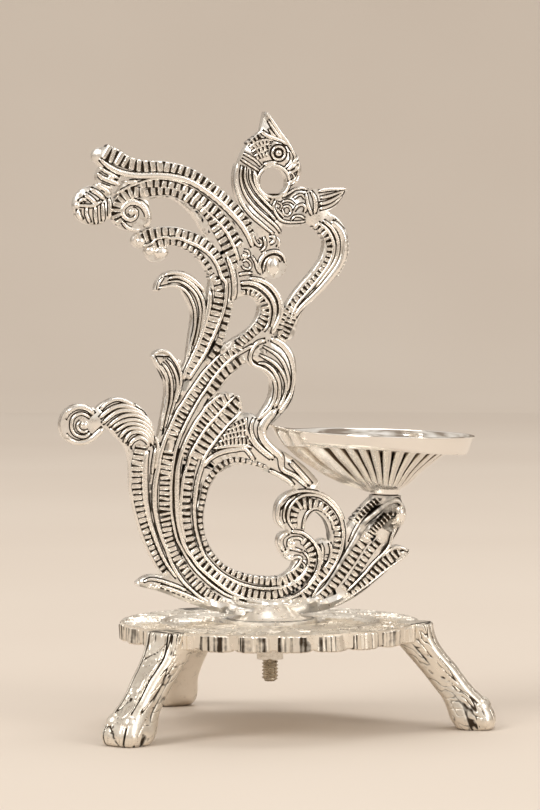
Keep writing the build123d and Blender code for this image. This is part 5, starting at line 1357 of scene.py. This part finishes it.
def stud_mesh():
    """Stud with a rolled thread, rounded at its tip."""
    around = 36
    rings, relief = [], []
    height = STUD_TIP
    while height < STUD_TOP:
        core = STUD_RADIUS - max(0.0, 14.5 - height) * 0.75 - THREAD_DEPTH
        fade = min(1, 0.2 + (height - STUD_TIP))
        points, crests = [], []
        for k, angle in enumerate(turns(around)):
            share = (height / THREAD_PITCH - k / around) % 1
            crest = max(0.0, 1 - abs(2 * share - 1) * 1.25)
            radius = core + THREAD_DEPTH * crest ** 0.8 * fade
            points.append((radius * math.cos(angle), radius * math.sin(angle), height))
            crests.append(crest)
        rings.append(points)
        relief.append(crests)
        height += THREAD_STEP
    bag = Bag()
    bag.tube(rings, relief)
    return bag.mesh("stud_thread", 55, STAND_PLACE)


def foot_mesh():
    """Turned foot of the casting, with a bead round its edge and a line inside the bead painted dark as shade."""
    profile = FOOT_BEAD + [(12.4 - 7.4 * t, 33.1 + 4.2 * t ** 1.7) for t in (k / 12 for k in range(13))]
    bag = Bag()
    bag.tube(
        [circle(radius, height, 96) for radius, height in profile],
        # The band just inside the bead is painted shade.
        [[0.25 if 12.6 < radius < 13.4 else FOOT_TONE] * 96 for radius, height in profile],
    )
    return bag.mesh("casting_foot", 40, CASTING_PLACE)


def stand_piece(mesh, *nodes):
    add_piece(mesh, "stand", "stand_silver", STAND_SILVER, *nodes)


def dress_rest():
    casting_piece(foot_mesh())
    add_piece(bowl_mesh(), "peacock", "bowl_silver", BOWL_SILVER, "lamp_bowl")
    stand_piece(plate_mesh(), "stand_plate")
    stand_piece(rim_mesh())
    for number, (node, turn) in enumerate(LEG_ANGLES.items()):
        stand_piece(leg_mesh("carved_" + node, turn, 11.3 * number + 1.7), node)
    add_piece(stud_mesh(), "peacock", "steel", STEEL, "clamp_stud")
    for node, finish in (("leg_rivets", STEEL), ("bowl_stud", STEEL), ("clamp_washer", STEEL), ("clamp_nut", NICKEL)):
        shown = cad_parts[node]
        shown.data.materials.clear()
        shown.data.materials.append(finish)


dress_rest()


# Studio

FLOOR = [(0.02, 0.0), (0.6, 0.0), (2.0, 0.0)]
COVE = [(2 + math.sin(a), 1 - math.cos(a)) for a in (math.radians(9 * k) for k in range(11))] + [(3.0, 3.0)]
LAMP_AIM = (0, 0, 0.1)
# Lamps: place, width and height, power, colour
LAMPS = {
    "key": ((-1.35, -1.53, 1.8), (1.1, 1.45), 28, (1.0, 0.97, 0.92)),
    "fill": ((1.7, -1.1, 1.1), (0.65, 1.6), 13, (1.0, 0.95, 0.88)),
    "top": ((0.2, 0.65, 2.1), (1.6, 0.75), 13, (1.0, 0.96, 0.91)),
}
CAMERA_AWAY, CAMERA_SIDE, CAMERA_HEIGHT = 1.25, math.radians(6), 0.155
CAMERA_DOWN = 2.63    # degrees below level


def studio():
    """Floor and a rounded backdrop right round the part."""
    backdrop, graph, coord = new_material("studio_backdrop")
    tone = graph.ramp(graph.noise(coord, 3, 2), [(0.3, (0.69, 0.615, 0.545)), (0.7, (0.725, 0.655, 0.585))])
    graph.fill(graph.nodes["Principled BSDF"], {"Base Color": tone, "Roughness": 0.9})
    around = 96
    for name, profile in (("studio_floor", FLOOR), ("studio_cove", COVE)):
        verts = [spot for radius, height in profile for spot in circle(radius, height, around)]
        faces = []
        for start in range(0, len(verts) - around, around):
            for k in range(around):
                a, b = start + k, start + (k + 1) % around
                faces.append((a, a + around, b + around, b))
        if name == "studio_floor":
            faces.append(tuple(range(around)))
        mesh = bpy.data.meshes.new(name)
        mesh.from_pydata(verts, [], faces)
        mesh.polygons.foreach_set("use_smooth", [True] * len(mesh.polygons))
        mesh.materials.append(backdrop)
        ground = bpy.data.objects.new(name, mesh)
        bpy.context.scene.collection.objects.link(ground)
        if name == "studio_cove":
            ground.visible_diffuse = ground.visible_glossy = ground.visible_shadow = False


def sky():
    """Warm room light from all sides, shaded as if by folds of cloth."""
    world = bpy.data.worlds.new("studio")
    bpy.context.scene.world = world
    world.use_nodes = True
    graph = Graph(world.node_tree)
    coord = graph.add("ShaderNodeTexCoord").outputs["Generated"]
    height = graph.add("ShaderNodeSeparateXYZ", {"Vector": coord}).outputs["Z"]
    tone = graph.ramp(graph.span(height, 0, 1, -1, 1), [
        (0.40, (0.42, 0.36, 0.30)), (0.50, (0.62, 0.55, 0.48)),
        (0.62, (0.80, 0.75, 0.69)), (1.0, (0.95, 0.92, 0.88)),
    ])
    folds = graph.ramp(graph.noise(coord, 2.1, 2.5, (1, 1, 0.55)), [
        (0.40, (0.34, 0.29, 0.245)), (0.50, (0.78, 0.75, 0.71)), (0.60, (1, 1, 1)),
    ])
    shade = graph.add("ShaderNodeMix", {0: 1.0, 6: tone, 7: folds}, data_type="RGBA", blend_type="MULTIPLY")
    graph.fill(graph.nodes["Background"], {"Color": shade.outputs[2], "Strength": 1.0})


def lamps():
    for name, (place, size, power, colour) in LAMPS.items():
        data = bpy.data.lights.new(name, "AREA")
        data.shape = "RECTANGLE"
        data.size, data.size_y = size
        data.energy = power
        data.color = colour
        lamp = bpy.data.objects.new(name, data)
        lamp.location = place
        lamp.rotation_euler = (Vector(LAMP_AIM) - Vector(place)).to_track_quat("-Z", "Y").to_euler()
        lamp.visible_camera = False
        bpy.context.scene.collection.objects.link(lamp)


def camera():
    data = bpy.data.cameras.new("camera")
    data.lens = 183.7
    data.sensor_width = 36
    data.clip_end = 20
    seen = bpy.data.objects.new("camera", data)
    seen.location = (
        STAND_AXIS * MM + CAMERA_AWAY * math.sin(CAMERA_SIDE), -CAMERA_AWAY * math.cos(CAMERA_SIDE), CAMERA_HEIGHT,
    )
    seen.rotation_euler = (math.radians(90 - CAMERA_DOWN), 0, CAMERA_SIDE)
    bpy.context.scene.collection.objects.link(seen)
    bpy.context.scene.camera = seen


studio()
sky()
lamps()
camera()
bpy.context.scene.view_settings.view_transform = "Standard"
